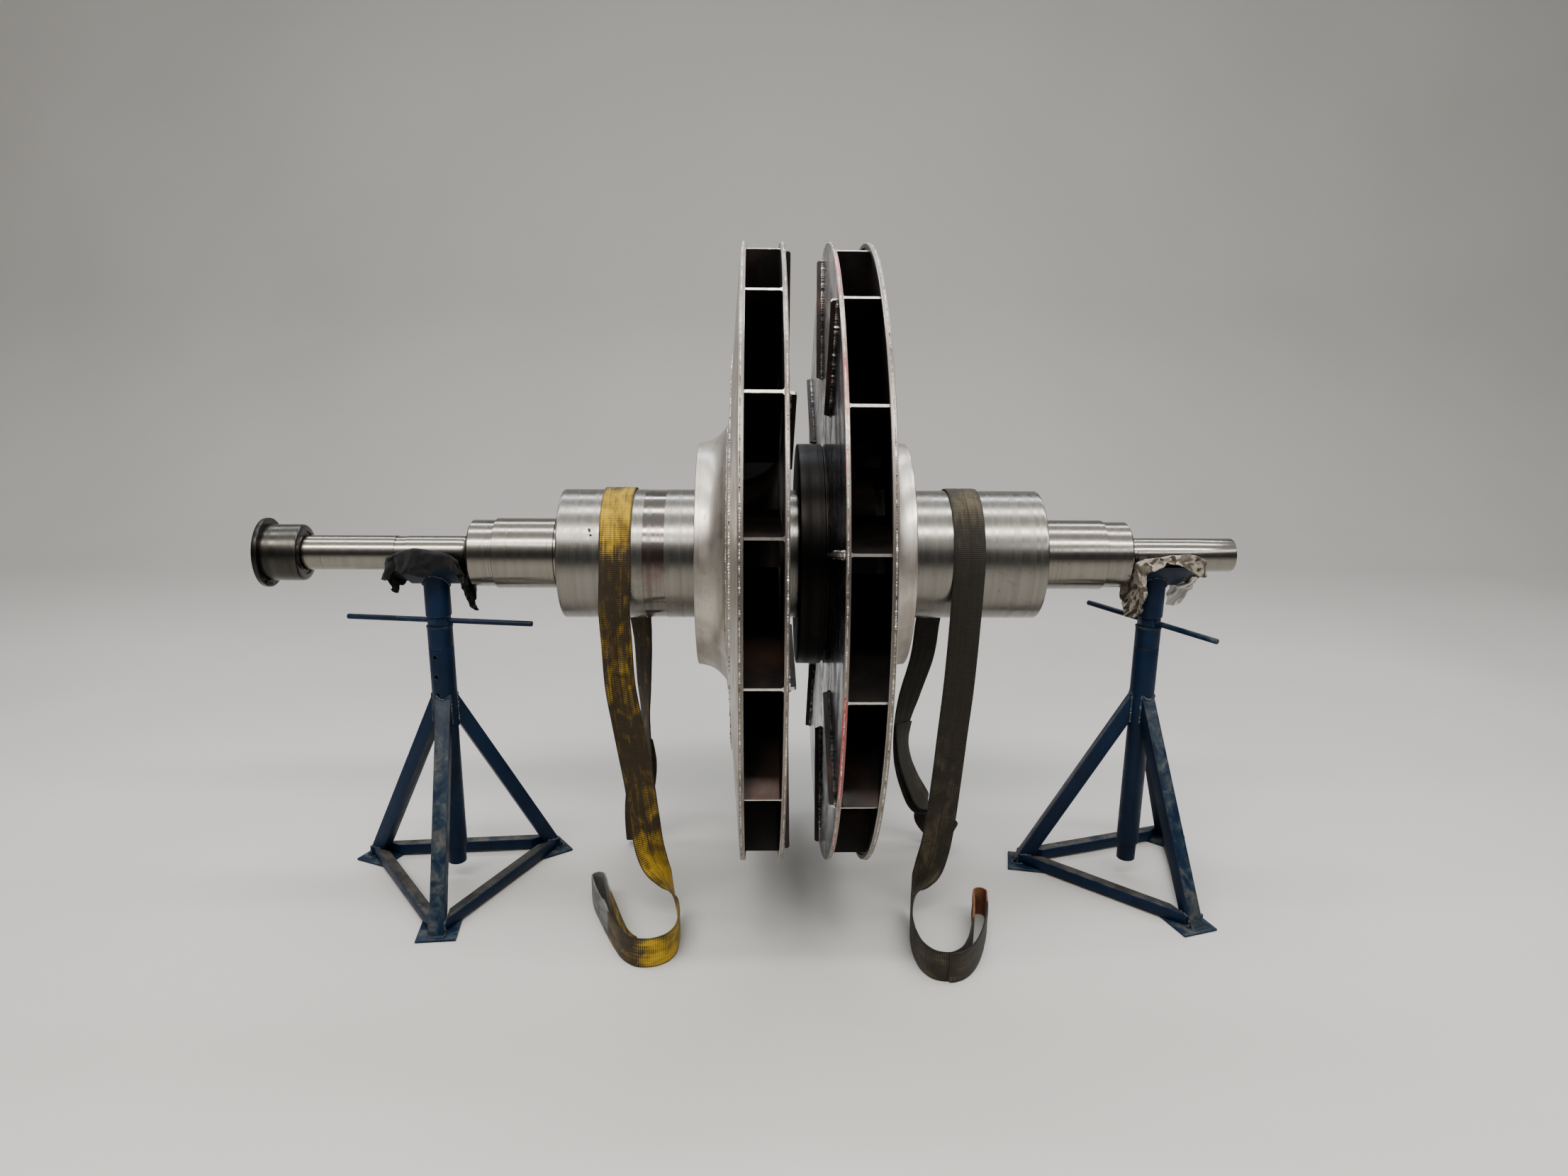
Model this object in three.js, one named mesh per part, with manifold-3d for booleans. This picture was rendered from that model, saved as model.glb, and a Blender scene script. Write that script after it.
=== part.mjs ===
// Two-wheel centrifugal blower rotor lying in the V-heads of two tripod screw jacks,
// with two webbing lifting slings hung over its shaft.
// Millimetres, +Z up. +X runs along the shaft away from the coupling hub.
// Everything is laid out from the middle between the two wheels, on the floor under the shaft.

import * as THREE from 'three';
import { mergeVertices } from 'three/addons/utils/BufferGeometryUtils.js';
import Module from 'manifold-3d';

const wasm = await Module();
wasm.setup();

// Whole object
const AXIS_Z = 926;
const GAP = 0.3;
const SHAFT_SIDES = 40;
const WHEEL_SIDES = 64;
const POST_SIDES = 24;

// Shaft, as stations along X and radii
const BARREL_R = 165;
const BARREL_HALF = 606;
const RELIEF_R = 85;
const RELIEF_END = 625;
const SEAL_R = 90;
const SEAL_END = 779;
const BEARING_R = 85.4;
const BEARING_END_LEFT = 843;
const BEARING_END_RIGHT = 845;
const LEFT_NECK_R = 60;
const NECK_FILLET = [12, 5];
const LEFT_NECK_END = 863;
const END_R = 43.8;
const GROOVE_R = 42;
const GROOVE_START = 1008;
const GROOVE_END = 1034;
const SPIGOT_R = 44.3;
const SPIGOT_END = 1364;
const RIGHT_END = 1127;
const EDGE = 4;

// Coupling hub at the left end
const HUB_R = 72;
const HUB_START = 1357.2;
const HUB_END = 1267.5;
const END_RING_R = 88.4;
const END_RING_FACE = 1370.3;

// Wheels: distances from the middle plane and radii
const WHEEL_R = 770;
const PLATE_FACE = 52.5;
const PLATE_BACK = 62.5;
const RIM_INNER = 141;
const RIM_OUTER = 153;
const RIM_DEPTH = 11;
const SHROUD_WALL = 8;
const FLARE_WALL = 5.8;
const FLARE_MIDDLE = [209, 307];
const FLARE_SET_IN = 10;
const CONE_END = [187, 333];
const FLARE_END = [229, 288];
const EYE_START = 235;
const EYE_END = 262;
const EYE_R = 285;
const EYE_BORE = 262;
const BOSS_R = 188;
const BOSS_END = 178;
const BOSS_FOOT_R = 262;
const BOSS_STEPS = 4;
const SUNK = 1;
const BLADE_COUNT = 16;
const BLADE_WALL = 6;
const BLADE_TIP_R = 757;
const BLADE_ROOT_R = 340;
const BLADE_OFFSET = 150;
const BLADE_TIP_GAP = 1;
const BLADE_FIRST = { left: 15.1, right: 12.8 };
const RIB_COUNT = 8;
const RIB_WALL = 7;
const RIB_FACE = 37.8;
const RIB_INNER_R = 448;
const RIB_OUTER_R = 752;
const RIB_FIRST = { left: -7.4, right: 12.8 };

// Drum on the inner face of the right wheel
const DRUM_START = -14;
const DRUM_R = 283;
const DRUM_RECESS = 48;
const DRUM_RECESS_R = 276;

// Tripod stands
const STANDS = {
  left: { x: -944, firstLeg: -85.2, outward: -1, barHalf: 252, barAngle: -7.9 },
  right: { x: 929, firstLeg: -72.5, outward: 1, barHalf: 213, barAngle: -59.5 },
};
const LEG_COUNT = 3;
const LEG_WIDTH = 38;
const LEG_TOP = 533.9;
const LEG_CROTCH = 452.1;
const LEG_HEAD_R = 20;
const LEG_HEAD_SLOPE = 0.526;
const LEG_FOOT = [267.5, 310.5];
const BAR_SIZE = 30;
const BAR_LINE_R = 289;
const PLATE_SIZE = 100;
const PLATE_THICK = 6;
const PLATE_CENTRE_R = 273;
const POST_BOTTOM = 101;
const POST_LOW_R = 29.5;
const SLEEVE_BOTTOM = 452;
const SLEEVE_R = 32.5;
const SLEEVE_TOP = 675;
const POST_BORE = 26.5;
const COLLAR_TOP = 733;
const PIN_HOLE_R = 6;
const PIN_HOLE_HEIGHTS = [651, 597, 547];
const PIN_HOLE_ANGLE = -108.1;
const HOLE_SIDES = 12;
const COLLAR_LIP = 1.5;

// Screws, tommy bars and V-heads
const SCREW_R = 25;
const SCREW_BOTTOM = 49;
const NECK_R = 30;
const NECK_SIDES = 6;
const NECK_TOP = 759.8;
const PIVOT_R = 18;
const PIVOT_TOP = 815;
const PIVOT_BORE = 20;
const PIVOT_BORE_TOP = 820;
const BAR_R = 7.5;
const BAR_Z = 746;
const HEAD_BOTTOM = 760.2;
const HEAD_R = 33;
const HEAD_TOP = 885;
const V_TO_AXIS = 53;
const V_WALL = 8;
const V_SLOPE = 88;
const V_OUTER = 93;
const V_INNER = 67;
const V_FOOT = 62;
const APEX_Z = AXIS_Z - V_TO_AXIS * Math.SQRT2;

// Rags in the V-heads
const RAG_WALL = 8.2;
const RAG_OVER = 7;
const RAG_FLAP_WALL = 6;
const TAIL_Y = [-30, -8];

// Webbing slings
const WEB_WIDTH = 77;
const WEB_THICK = 5;
const WRAP_GAP = 1;
const WRAP_R = BARREL_R + WRAP_GAP + WEB_THICK / 2;
const WRAP_STEPS = 20;
const WEB_STEPS = 3;
const EYE_MOUTH = 6;
const EYE_OPENING = 34;
const EYE_TURN_STEPS = 4;

// Each station of a sling: x, y, z of the middle of the webbing, then its twist and its roll.
// Twist 0 faces the front, twist 90 with roll 0 shows its edge, twist 90 with roll 90 stands
// on its edge on the floor.
const SLINGS = {
  left: {
    edge: -1,
    barrelX: -460.5,
    front: [
      [-463, -169.5, 875, 2, 0],
      [-465, -170, 823, 12, 0],
      [-461, -171, 740, 18, 0],
      [-455, -173, 625, 18, 0],
      [-442, -175, 539, 10, 0],
      [-428, -177, 452, 4, 0],
      [-414, -179, 366, 4, 0],
      [-401, -184, 262, 8, 0],
      [-391, -189, 190, 18, 0],
    ],
    floor: [
      [-377, -193, 146, 34, 0],
      [-354, -199, 108, 62, 8],
      [-334, -212, 76, 84, 32],
      [-319, -238, 52, 90, 62],
      [-311, -280, 41, 90, 85],
      [-308, -330, 40, 90, 90],
      [-313, -378, 40, 90, 90],
      [-333, -413, 40, 90, 90],
      [-368, -432, 40, 90, 90],
    ],
    floorEye: [
      [-404, -430, 40, 90, 90],
      [-436, -404, 40, 90, 90],
      [-463, -358, 40, 90, 90],
      [-486, -308, 40, 90, 90],
      [-512, -247, 40, 90, 90],
      [-535, -188, 40, 90, 90],
      [-550, -140, 40, 90, 90],
    ],
    back: [
      [-457, 169.5, 875, -2, 0],
      [-452, 170, 823, -12, 0],
      [-438, 171, 701, -36, 0],
      [-433, 171, 631, -46, 0],
      [-433, 170, 502, -56, 0],
      [-432, 170, 420, -66, 0],
    ],
    backEye: [
      [-433, 170, 350, -62, 0],
      [-440, 169, 280, -42, 0],
      [-451, 168, 210, -20, 0],
      [-459, 167, 140, -6, 0],
      [-460, 166, 80, 0, 0],
      [-458, 165, 36, 0, 0],
    ],
  },
  right: {
    edge: 1,
    barrelX: 407.5,
    front: [
      [406, -169.5, 875, 2, 0],
      [404, -170, 823, 8, 0],
      [400, -171, 720, 10, 0],
      [394, -173, 610, 6, 0],
      [385, -175, 500, 2, 0],
      [375, -178, 373, 0, 0],
      [363, -184, 255, 4, 0],
      [351, -189, 180, 10, 0],
    ],
    floor: [
      [337, -193, 132, 30, 0],
      [318, -199, 98, 58, 10],
      [303, -212, 70, 82, 34],
      [291, -240, 49, 90, 64],
      [282, -285, 41, 90, 86],
      [275, -345, 40, 90, 90],
      [275, -400, 40, 90, 90],
      [285, -452, 40, 90, 90],
      [309, -488, 40, 90, 90],
    ],
    floorEye: [
      [342, -497, 40, 90, 90],
      [372, -480, 40, 90, 90],
      [396, -442, 40, 90, 90],
      [414, -394, 40, 90, 90],
      [430, -337, 40, 90, 90],
      [443, -280, 40, 90, 90],
      [452, -222, 40, 90, 90],
    ],
    back: [
      [402, 169.5, 875, -2, 0],
      [386, 170, 790, -8, 0],
      [368, 170, 704, -20, 0],
      [356, 170, 594, -22, 0],
      [324, 170, 474, -30, 0],
    ],
    backEye: [
      [306, 170, 390, -46, 0],
      [299, 169, 325, -58, 0],
      [304, 167, 270, -58, 20],
      [320, 165, 215, -54, 50],
      [342, 162, 165, -52, 72],
      [368, 160, 120, -58, 84],
      [396, 158, 82, -70, 88],
      [424, 156, 56, -82, 90],
      [448, 153, 44, -90, 90],
    ],
  },
};

// Colours
const COLOUR = {
  steel: 0xa9a49b,
  wheel: 0x8e8a82,
  dark: 0x2b2624,
  navy: 0x22354d,
  bare: 0x55544f,
  rag: 0x24262b,
  mottled: 0x6f6755,
  yellow: 0x8f6d1e,
  olive: 0x3a3526,
};
const FINISH = {
  steel: { roughness: 0.3, metalness: 1 },
  paint: { roughness: 0.6, metalness: 0.1 },
  cloth: { roughness: 0.95, metalness: 0 },
};

const rad = THREE.MathUtils.degToRad;

// A clean closed solid: shared vertices, no slivers, faces pointing out.
function closed(geometry) {
  const source = geometry.clone();
  source.deleteAttribute('normal');
  source.deleteAttribute('uv');
  const merged = mergeVertices(source, 1e-4);
  const position = merged.getAttribute('position');
  const index = merged.getIndex().array;
  const kept = [];
  const a = new THREE.Vector3();
  const b = new THREE.Vector3();
  const c = new THREE.Vector3();
  let volume = 0;
  for (let i = 0; i < index.length; i += 3) {
    const corners = [index[i], index[i + 1], index[i + 2]];
    if (new Set(corners).size < 3) {
      continue;
    }
    a.fromBufferAttribute(position, corners[0]);
    b.fromBufferAttribute(position, corners[1]);
    c.fromBufferAttribute(position, corners[2]);
    volume += a.dot(b.cross(c));
    kept.push(corners);
  }
  const order = volume > 0 ? [0, 1, 2] : [0, 2, 1];
  const clean = new THREE.BufferGeometry();
  clean.setAttribute('position', position);
  clean.setIndex(kept.flatMap((corners) => order.map((k) => corners[k])));
  clean.computeVertexNormals();
  return clean;
}

function toSolid(geometry) {
  const clean = closed(geometry);
  return new wasm.Manifold(new wasm.Mesh({
    numProp: 3,
    vertProperties: new Float32Array(clean.getAttribute('position').array),
    triVerts: new Uint32Array(clean.getIndex().array),
  }));
}

function fromSolid(solid) {
  const mesh = solid.getMesh();
  const geometry = new THREE.BufferGeometry();
  geometry.setAttribute('position', new THREE.BufferAttribute(new Float32Array(mesh.vertProperties), 3));
  geometry.setIndex(Array.from(mesh.triVerts));
  return closed(geometry);
}

// A solid of revolution about X, from a list of [x, radius].
function turned(profile, sides) {
  const points = profile.map(([x, r]) => new THREE.Vector2(r, x));
  const lathe = new THREE.LatheGeometry(points, sides);
  lathe.rotateZ(-Math.PI / 2);
  return closed(lathe);
}

// A ring or sleeve about X, whose profile closes on itself.
function turnedRing(profile, sides) {
  return turned([...profile, profile[0]], sides);
}

// A solid of revolution about Z, from a list of [radius, z].
function upright(profile, sides) {
  const points = profile.map(([r, z]) => new THREE.Vector2(r, z));
  const lathe = new THREE.LatheGeometry(points, sides);
  lathe.rotateX(Math.PI / 2);
  return closed(lathe);
}

function uprightRing(profile, sides) {
  return upright([...profile, profile[0]], sides);
}

// A flat outline pulled up by a height, with its underside at z.
function pulledUp(outline, z, height) {
  const shape = new THREE.Shape(outline.map(([x, y]) => new THREE.Vector2(x, y)));
  const geometry = new THREE.ExtrudeGeometry(shape, { depth: height, bevelEnabled: false });
  geometry.translate(0, 0, z);
  return geometry;
}

// An outline in X and Z, with a thickness that runs from y0 to y1.
function sideways(outline, y0, y1) {
  const geometry = pulledUp(outline, -y1, y1 - y0);
  geometry.rotateX(Math.PI / 2);
  return geometry;
}

// A round bar along X, through the origin.
function roundBar(radius, half, sides, chamfer = 0) {
  return turned([
    [-half, 0],
    [-half, radius - chamfer],
    [-half + chamfer, radius],
    [half - chamfer, radius],
    [half, radius - chamfer],
    [half, 0],
  ].filter(([x, r], i, list) => i === 0 || x !== list[i - 1][0] || r !== list[i - 1][1]), sides);
}

function named(name, geometry, colour, finish) {
  const material = new THREE.MeshStandardMaterial({ color: colour, ...finish });
  const mesh = new THREE.Mesh(geometry, material);
  mesh.name = name;
  return mesh;
}

// Rotor: the shaft and what is fixed on it

function makeShaft() {
  return turned([
    [-SPIGOT_END, 0],
    [-SPIGOT_END, SPIGOT_R - EDGE / 2],
    [-SPIGOT_END + EDGE / 2, SPIGOT_R],
    [-GROOVE_END, SPIGOT_R],
    [-GROOVE_END + EDGE / 2, GROOVE_R],
    [-GROOVE_START - EDGE / 2, GROOVE_R],
    [-GROOVE_START, END_R],
    [-LEFT_NECK_END, END_R],
    [-LEFT_NECK_END + NECK_FILLET[0], END_R + NECK_FILLET[1]],
    [-BEARING_END_LEFT, LEFT_NECK_R],
    [-BEARING_END_LEFT, BEARING_R - EDGE],
    [-BEARING_END_LEFT + EDGE, BEARING_R],
    [-SEAL_END, BEARING_R],
    [-SEAL_END, SEAL_R],
    [-RELIEF_END, SEAL_R],
    [-RELIEF_END, RELIEF_R],
    [-BARREL_HALF, RELIEF_R],
    [-BARREL_HALF, BARREL_R - EDGE],
    [-BARREL_HALF + EDGE, BARREL_R],
    [BARREL_HALF - EDGE, BARREL_R],
    [BARREL_HALF, BARREL_R - EDGE],
    [BARREL_HALF, RELIEF_R],
    [RELIEF_END, RELIEF_R],
    [RELIEF_END, SEAL_R],
    [SEAL_END, SEAL_R],
    [SEAL_END, BEARING_R],
    [BEARING_END_RIGHT - EDGE, BEARING_R],
    [BEARING_END_RIGHT, BEARING_R - EDGE],
    [BEARING_END_RIGHT, END_R],
    [RIGHT_END - EDGE, END_R],
    [RIGHT_END, END_R - EDGE],
    [RIGHT_END, 0],
  ], SHAFT_SIDES);
}

function makeCouplingHub() {
  return turnedRing([
    [-HUB_START, SPIGOT_R + GAP],
    [-HUB_START, HUB_R],
    [-HUB_END - EDGE / 2, HUB_R],
    [-HUB_END, HUB_R - EDGE / 2],
    [-HUB_END, SPIGOT_R + GAP],
  ], SHAFT_SIDES);
}

function makeEndRing() {
  const inner = HUB_START + GAP;
  return turnedRing([
    [-END_RING_FACE, SPIGOT_R + GAP],
    [-END_RING_FACE, END_RING_R - EDGE / 2],
    [-END_RING_FACE + EDGE / 2, END_RING_R],
    [-inner, END_RING_R],
    [-inner, SPIGOT_R + GAP],
  ], SHAFT_SIDES);
}

function makeDrum() {
  return turnedRing([
    [DRUM_START, BARREL_R + GAP],
    [DRUM_START, DRUM_R],
    [DRUM_RECESS, DRUM_R],
    [DRUM_RECESS, DRUM_RECESS_R],
    [PLATE_FACE - GAP, DRUM_RECESS_R],
    [PLATE_FACE - GAP, BARREL_R + GAP],
  ], WHEEL_SIDES);
}

// Where the shroud's inner surface is at a radius, between the rim and the flare.
function shroudInner(r) {
  const along = (WHEEL_R - r) / (WHEEL_R - CONE_END[1]);
  return RIM_OUTER - SHROUD_WALL + along * (CONE_END[0] - RIM_OUTER);
}

// The wheels are made for the right side and mirrored for the left.
function sided(geometry, side) {
  if (side === 'left') {
    geometry.scale(-1, 1, 1);
  }
  return closed(geometry);
}

function makeShroud(side) {
  const rimStep = WHEEL_R - RIM_DEPTH;
  return sided(turnedRing([
    [RIM_INNER, WHEEL_R],
    [RIM_OUTER, WHEEL_R],
    CONE_END,
    FLARE_MIDDLE,
    FLARE_END,
    [EYE_START, EYE_R],
    [EYE_END, EYE_R],
    [EYE_END, EYE_BORE],
    [EYE_START, EYE_BORE],
    [FLARE_END[0] - FLARE_WALL, FLARE_END[1] - FLARE_WALL - FLARE_SET_IN],
    [FLARE_MIDDLE[0] - FLARE_WALL, FLARE_MIDDLE[1] - FLARE_WALL],
    [shroudInner(CONE_END[1]), CONE_END[1]],
    [shroudInner(rimStep), rimStep],
    [RIM_INNER, rimStep],
  ], WHEEL_SIDES), side);
}

// The back plate with the boss that carries it on the shaft.
function plateProfile() {
  const fairing = [];
  for (let i = 1; i <= BOSS_STEPS; i += 1) {
    const turn = (i / (BOSS_STEPS + 1)) * (Math.PI / 2);
    const x = PLATE_BACK + (BOSS_END - PLATE_BACK) * (1 - Math.cos(turn));
    const r = BOSS_FOOT_R - (BOSS_FOOT_R - BOSS_R) * Math.sin(turn);
    fairing.push([x, r]);
  }
  return [
    [PLATE_FACE, BARREL_R + GAP],
    [PLATE_FACE, WHEEL_R],
    [PLATE_BACK, WHEEL_R],
    [PLATE_BACK, BOSS_FOOT_R],
    ...fairing,
    [BOSS_END, BOSS_R],
    [BOSS_END, BARREL_R + GAP],
  ];
}

// A box that stands on the wheel's radius at an angle up from the front of the wheel.
function onWheel(geometry, degrees) {
  geometry.rotateX(-rad(degrees));
  return geometry;
}

function makeBladedPlate(side) {
  const channel = toSolid(turnedRing([
    [PLATE_BACK - SUNK, BLADE_ROOT_R],
    [PLATE_BACK - SUNK, BLADE_TIP_R],
    [shroudInner(BLADE_TIP_R) - GAP - BLADE_TIP_GAP, BLADE_TIP_R],
    [shroudInner(BLADE_ROOT_R) - GAP, BLADE_ROOT_R],
  ], WHEEL_SIDES));
  const depth = RIM_OUTER;
  const lean = THREE.MathUtils.radToDeg(Math.asin(BLADE_OFFSET / BLADE_TIP_R));
  let blades = null;
  for (let k = 0; k < BLADE_COUNT; k += 1) {
    const blade = new THREE.BoxGeometry(depth, WHEEL_R, BLADE_WALL);
    blade.translate(PLATE_BACK - SUNK + depth / 2, -WHEEL_R / 2 - BLADE_OFFSET, BLADE_OFFSET);
    const angle = BLADE_FIRST[side] + (k * 360) / BLADE_COUNT - lean;
    const solid = toSolid(onWheel(blade, angle));
    blades = blades ? blades.add(solid) : solid;
  }
  let wheel = toSolid(turnedRing(plateProfile(), WHEEL_SIDES)).add(blades.intersect(channel));
  for (let k = 0; k < RIB_COUNT; k += 1) {
    const rib = new THREE.BoxGeometry(PLATE_FACE - RIB_FACE + SUNK, RIB_OUTER_R - RIB_INNER_R, RIB_WALL);
    rib.translate((PLATE_FACE + RIB_FACE + SUNK) / 2, -(RIB_OUTER_R + RIB_INNER_R) / 2, 0);
    wheel = wheel.add(toSolid(onWheel(rib, RIB_FIRST[side] + (k * 360) / RIB_COUNT)));
  }
  return sided(fromSolid(wheel), side);
}

function makeRotor() {
  const rotor = new THREE.Group();
  rotor.position.z = AXIS_Z;
  rotor.add(named('shaft', makeShaft(), COLOUR.steel, FINISH.steel));
  rotor.add(named('coupling_hub', makeCouplingHub(), COLOUR.dark, FINISH.steel));
  rotor.add(named('coupling_end_ring', makeEndRing(), COLOUR.dark, FINISH.steel));
  rotor.add(named('hub_drum', makeDrum(), COLOUR.dark, FINISH.steel));
  for (const side of ['left', 'right']) {
    rotor.add(named(`${side}_bladed_back_plate`, makeBladedPlate(side), COLOUR.dark, FINISH.steel));
    rotor.add(named(`${side}_shroud`, makeShroud(side), COLOUR.wheel, FINISH.steel));
  }
  return rotor;
}

// Stands

const LEG_BOTTOM = PLATE_THICK + GAP;

function makeLeg() {
  const rise = (SLEEVE_R - LEG_HEAD_R) / LEG_HEAD_SLOPE;
  const outline = [
    [LEG_HEAD_R, LEG_CROTCH + rise],
    [LEG_FOOT[0], LEG_BOTTOM],
    [LEG_FOOT[1], LEG_BOTTOM],
    [LEG_HEAD_R, LEG_TOP + rise],
  ];
  const leg = toSolid(sideways(outline, -LEG_WIDTH / 2, LEG_WIDTH / 2));
  const socket = toSolid(uprightRing([
    [1, SLEEVE_BOTTOM - BAR_SIZE],
    [SLEEVE_R + GAP, SLEEVE_BOTTOM - BAR_SIZE],
    [SLEEVE_R + GAP, SLEEVE_TOP],
    [1, SLEEVE_TOP],
  ], POST_SIDES));
  return fromSolid(leg.subtract(socket));
}

// The base bar from one leg to the next, cut off beside each leg.
function makeBaseBar(fromAngle, toAngle) {
  const start = new THREE.Vector2(Math.cos(rad(fromAngle)), Math.sin(rad(fromAngle)));
  const end = new THREE.Vector2(Math.cos(rad(toAngle)), Math.sin(rad(toAngle)));
  const along = end.clone().sub(start).normalize();
  const out = new THREE.Vector2(along.y, -along.x);
  const offset = LEG_WIDTH / 2 + GAP;
  const middle = start.clone().multiplyScalar(BAR_LINE_R);
  // The point of one edge of the bar that lies at the leg's side.
  function corner(radial, side, across) {
    const across2 = out.clone().multiplyScalar(across);
    const normal = new THREE.Vector2(-radial.y, radial.x);
    const base = middle.clone().add(across2);
    const run = (side * offset - base.dot(normal)) / along.dot(normal);
    const point = base.addScaledVector(along, run);
    return [point.x, point.y];
  }
  const half = BAR_SIZE / 2;
  const outline = [
    corner(start, 1, -half),
    corner(start, 1, half),
    corner(end, -1, half),
    corner(end, -1, -half),
  ];
  return closed(pulledUp(outline, LEG_BOTTOM, BAR_SIZE));
}

function makeFootPlate() {
  const plate = new THREE.BoxGeometry(PLATE_SIZE, PLATE_SIZE, PLATE_THICK);
  plate.translate(PLATE_CENTRE_R, 0, PLATE_THICK / 2);
  return closed(plate);
}

function makePost(side) {
  let post = toSolid(uprightRing([
    [POST_BORE, POST_BOTTOM],
    [POST_LOW_R, POST_BOTTOM],
    [POST_LOW_R, SLEEVE_BOTTOM],
    [SLEEVE_R, SLEEVE_BOTTOM],
    [SLEEVE_R, SLEEVE_TOP],
    [POST_BORE, SLEEVE_TOP],
  ], POST_SIDES));
  if (side === 'left') {
    for (const height of PIN_HOLE_HEIGHTS) {
      const hole = roundBar(PIN_HOLE_R, SLEEVE_R * 2, HOLE_SIDES);
      hole.rotateZ(rad(PIN_HOLE_ANGLE));
      hole.translate(0, 0, height);
      post = post.subtract(toSolid(hole));
    }
  }
  return fromSolid(post);
}

function makeCollar() {
  return uprightRing([
    [POST_BORE, SLEEVE_TOP + GAP],
    [SLEEVE_R, SLEEVE_TOP + GAP],
    [SLEEVE_R, COLLAR_TOP - EDGE],
    [SLEEVE_R + COLLAR_LIP, COLLAR_TOP - EDGE],
    [SLEEVE_R + COLLAR_LIP, COLLAR_TOP],
    [POST_BORE, COLLAR_TOP],
  ], POST_SIDES);
}

function barHole(side, radius, half) {
  const hole = roundBar(radius, half, HOLE_SIDES);
  hole.rotateZ(rad(STANDS[side].barAngle));
  hole.translate(0, 0, BAR_Z);
  return hole;
}

function makeScrew(side) {
  const stem = toSolid(upright([
    [0, SCREW_BOTTOM],
    [SCREW_R - EDGE / 2, SCREW_BOTTOM],
    [SCREW_R, SCREW_BOTTOM + EDGE / 2],
    [SCREW_R, COLLAR_TOP + EDGE],
    [PIVOT_R, COLLAR_TOP + EDGE],
    [PIVOT_R, PIVOT_TOP],
    [0, PIVOT_TOP],
  ], POST_SIDES));
  const neckHeight = NECK_TOP - COLLAR_TOP - GAP;
  const neck = new THREE.CylinderGeometry(NECK_R, NECK_R, neckHeight, NECK_SIDES);
  neck.rotateX(Math.PI / 2);
  neck.rotateZ(rad(STANDS[side].barAngle));
  neck.translate(0, 0, NECK_TOP - neckHeight / 2);
  return fromSolid(stem.add(toSolid(neck)).subtract(toSolid(barHole(side, BAR_R + GAP, NECK_R * 2))));
}

function makeTommyBar(side) {
  const { barHalf, barAngle } = STANDS[side];
  const bar = roundBar(BAR_R, barHalf, HOLE_SIDES, EDGE / 2);
  bar.rotateZ(rad(barAngle));
  bar.translate(0, 0, BAR_Z);
  return closed(bar);
}

// A point of the V, from its apex: the way up the slope, then out from the shaft.
function onSlope(slope, out) {
  return [(slope + out) / Math.SQRT2, APEX_Z + (slope - out) / Math.SQRT2];
}

function makeHead(side) {
  const { outward } = STANDS[side];
  const outline = [
    [-V_FOOT, -V_WALL],
    [V_FOOT, -V_WALL],
    [outward > 0 ? V_OUTER : V_INNER, V_SLOPE],
    [outward > 0 ? -V_INNER : -V_OUTER, V_SLOPE],
  ];
  const plate = pulledUp(outline, -V_WALL, V_WALL);
  plate.rotateX(Math.PI / 4);
  plate.translate(0, 0, APEX_Z);
  const mirrored = plate.clone().scale(1, -1, 1);
  const trough = sideways([[0, 0], [V_SLOPE, V_SLOPE], [-V_SLOPE, V_SLOPE]], -V_OUTER, V_OUTER);
  trough.rotateZ(Math.PI / 2);
  trough.translate(0, 0, APEX_Z);
  const sleeve = toSolid(upright([
    [0, HEAD_BOTTOM],
    [HEAD_R, HEAD_BOTTOM],
    [HEAD_R, HEAD_TOP],
    [0, HEAD_TOP],
  ], POST_SIDES));
  const bore = toSolid(upright([
    [0, HEAD_BOTTOM - EDGE],
    [PIVOT_BORE, HEAD_BOTTOM - EDGE],
    [PIVOT_BORE, PIVOT_BORE_TOP],
    [0, PIVOT_BORE_TOP],
  ], POST_SIDES));
  return fromSolid(sleeve.add(toSolid(plate)).add(toSolid(mirrored))
    .subtract(toSolid(trough)).subtract(bore));
}

// Rag: lines the V, folds over both plates' top edges and hangs down in tails.
const RAGS = {
  left: {
    span: [-104, 74],
    flap: 40,
    tails: [
      [[66, 868], [78, 856], [90, 836], [112, 828], [136, 822], [134, 792], [116, 764], [98, 766],
        [90, 792], [84, 812], [72, 826], [66, 846]],
    ],
  },
  right: {
    span: [-78, 104],
    flap: 40,
    tails: [
      [[-74, 866], [-80, 850], [-88, 832], [-98, 828], [-88, 800], [-66, 776], [-36, 778],
        [-40, 800], [-56, 826], [-66, 846]],
      [[100, 868], [118, 850], [126, 812], [104, 786], [84, 790], [76, 812], [88, 842]],
    ],
  },
};

function makeRag(side) {
  const { span, flap, tails } = RAGS[side];
  const top = V_SLOPE + RAG_OVER;
  const under = V_WALL + GAP;
  const over = under + RAG_FLAP_WALL;
  const chain = [
    onSlope(top, -RAG_WALL - GAP),
    onSlope(top, over),
    onSlope(V_SLOPE - flap, over),
    onSlope(V_SLOPE - flap, under),
    onSlope(V_SLOPE + GAP, under),
    onSlope(V_SLOPE + GAP, -GAP),
  ];
  const mirror = chain.map(([y, z]) => [-y, z]).reverse();
  const apexOuter = [0, APEX_Z + GAP * Math.SQRT2];
  const apexInner = [0, APEX_Z + (RAG_WALL + GAP) * Math.SQRT2];
  const outline = [...chain, apexOuter, ...mirror, apexInner];
  const lining = sideways(outline, -span[1], -span[0]);
  lining.rotateZ(Math.PI / 2);
  let rag = toSolid(lining);
  for (const tail of tails) {
    rag = rag.add(toSolid(sideways(tail, TAIL_Y[0], TAIL_Y[1])));
  }
  return fromSolid(rag);
}

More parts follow.
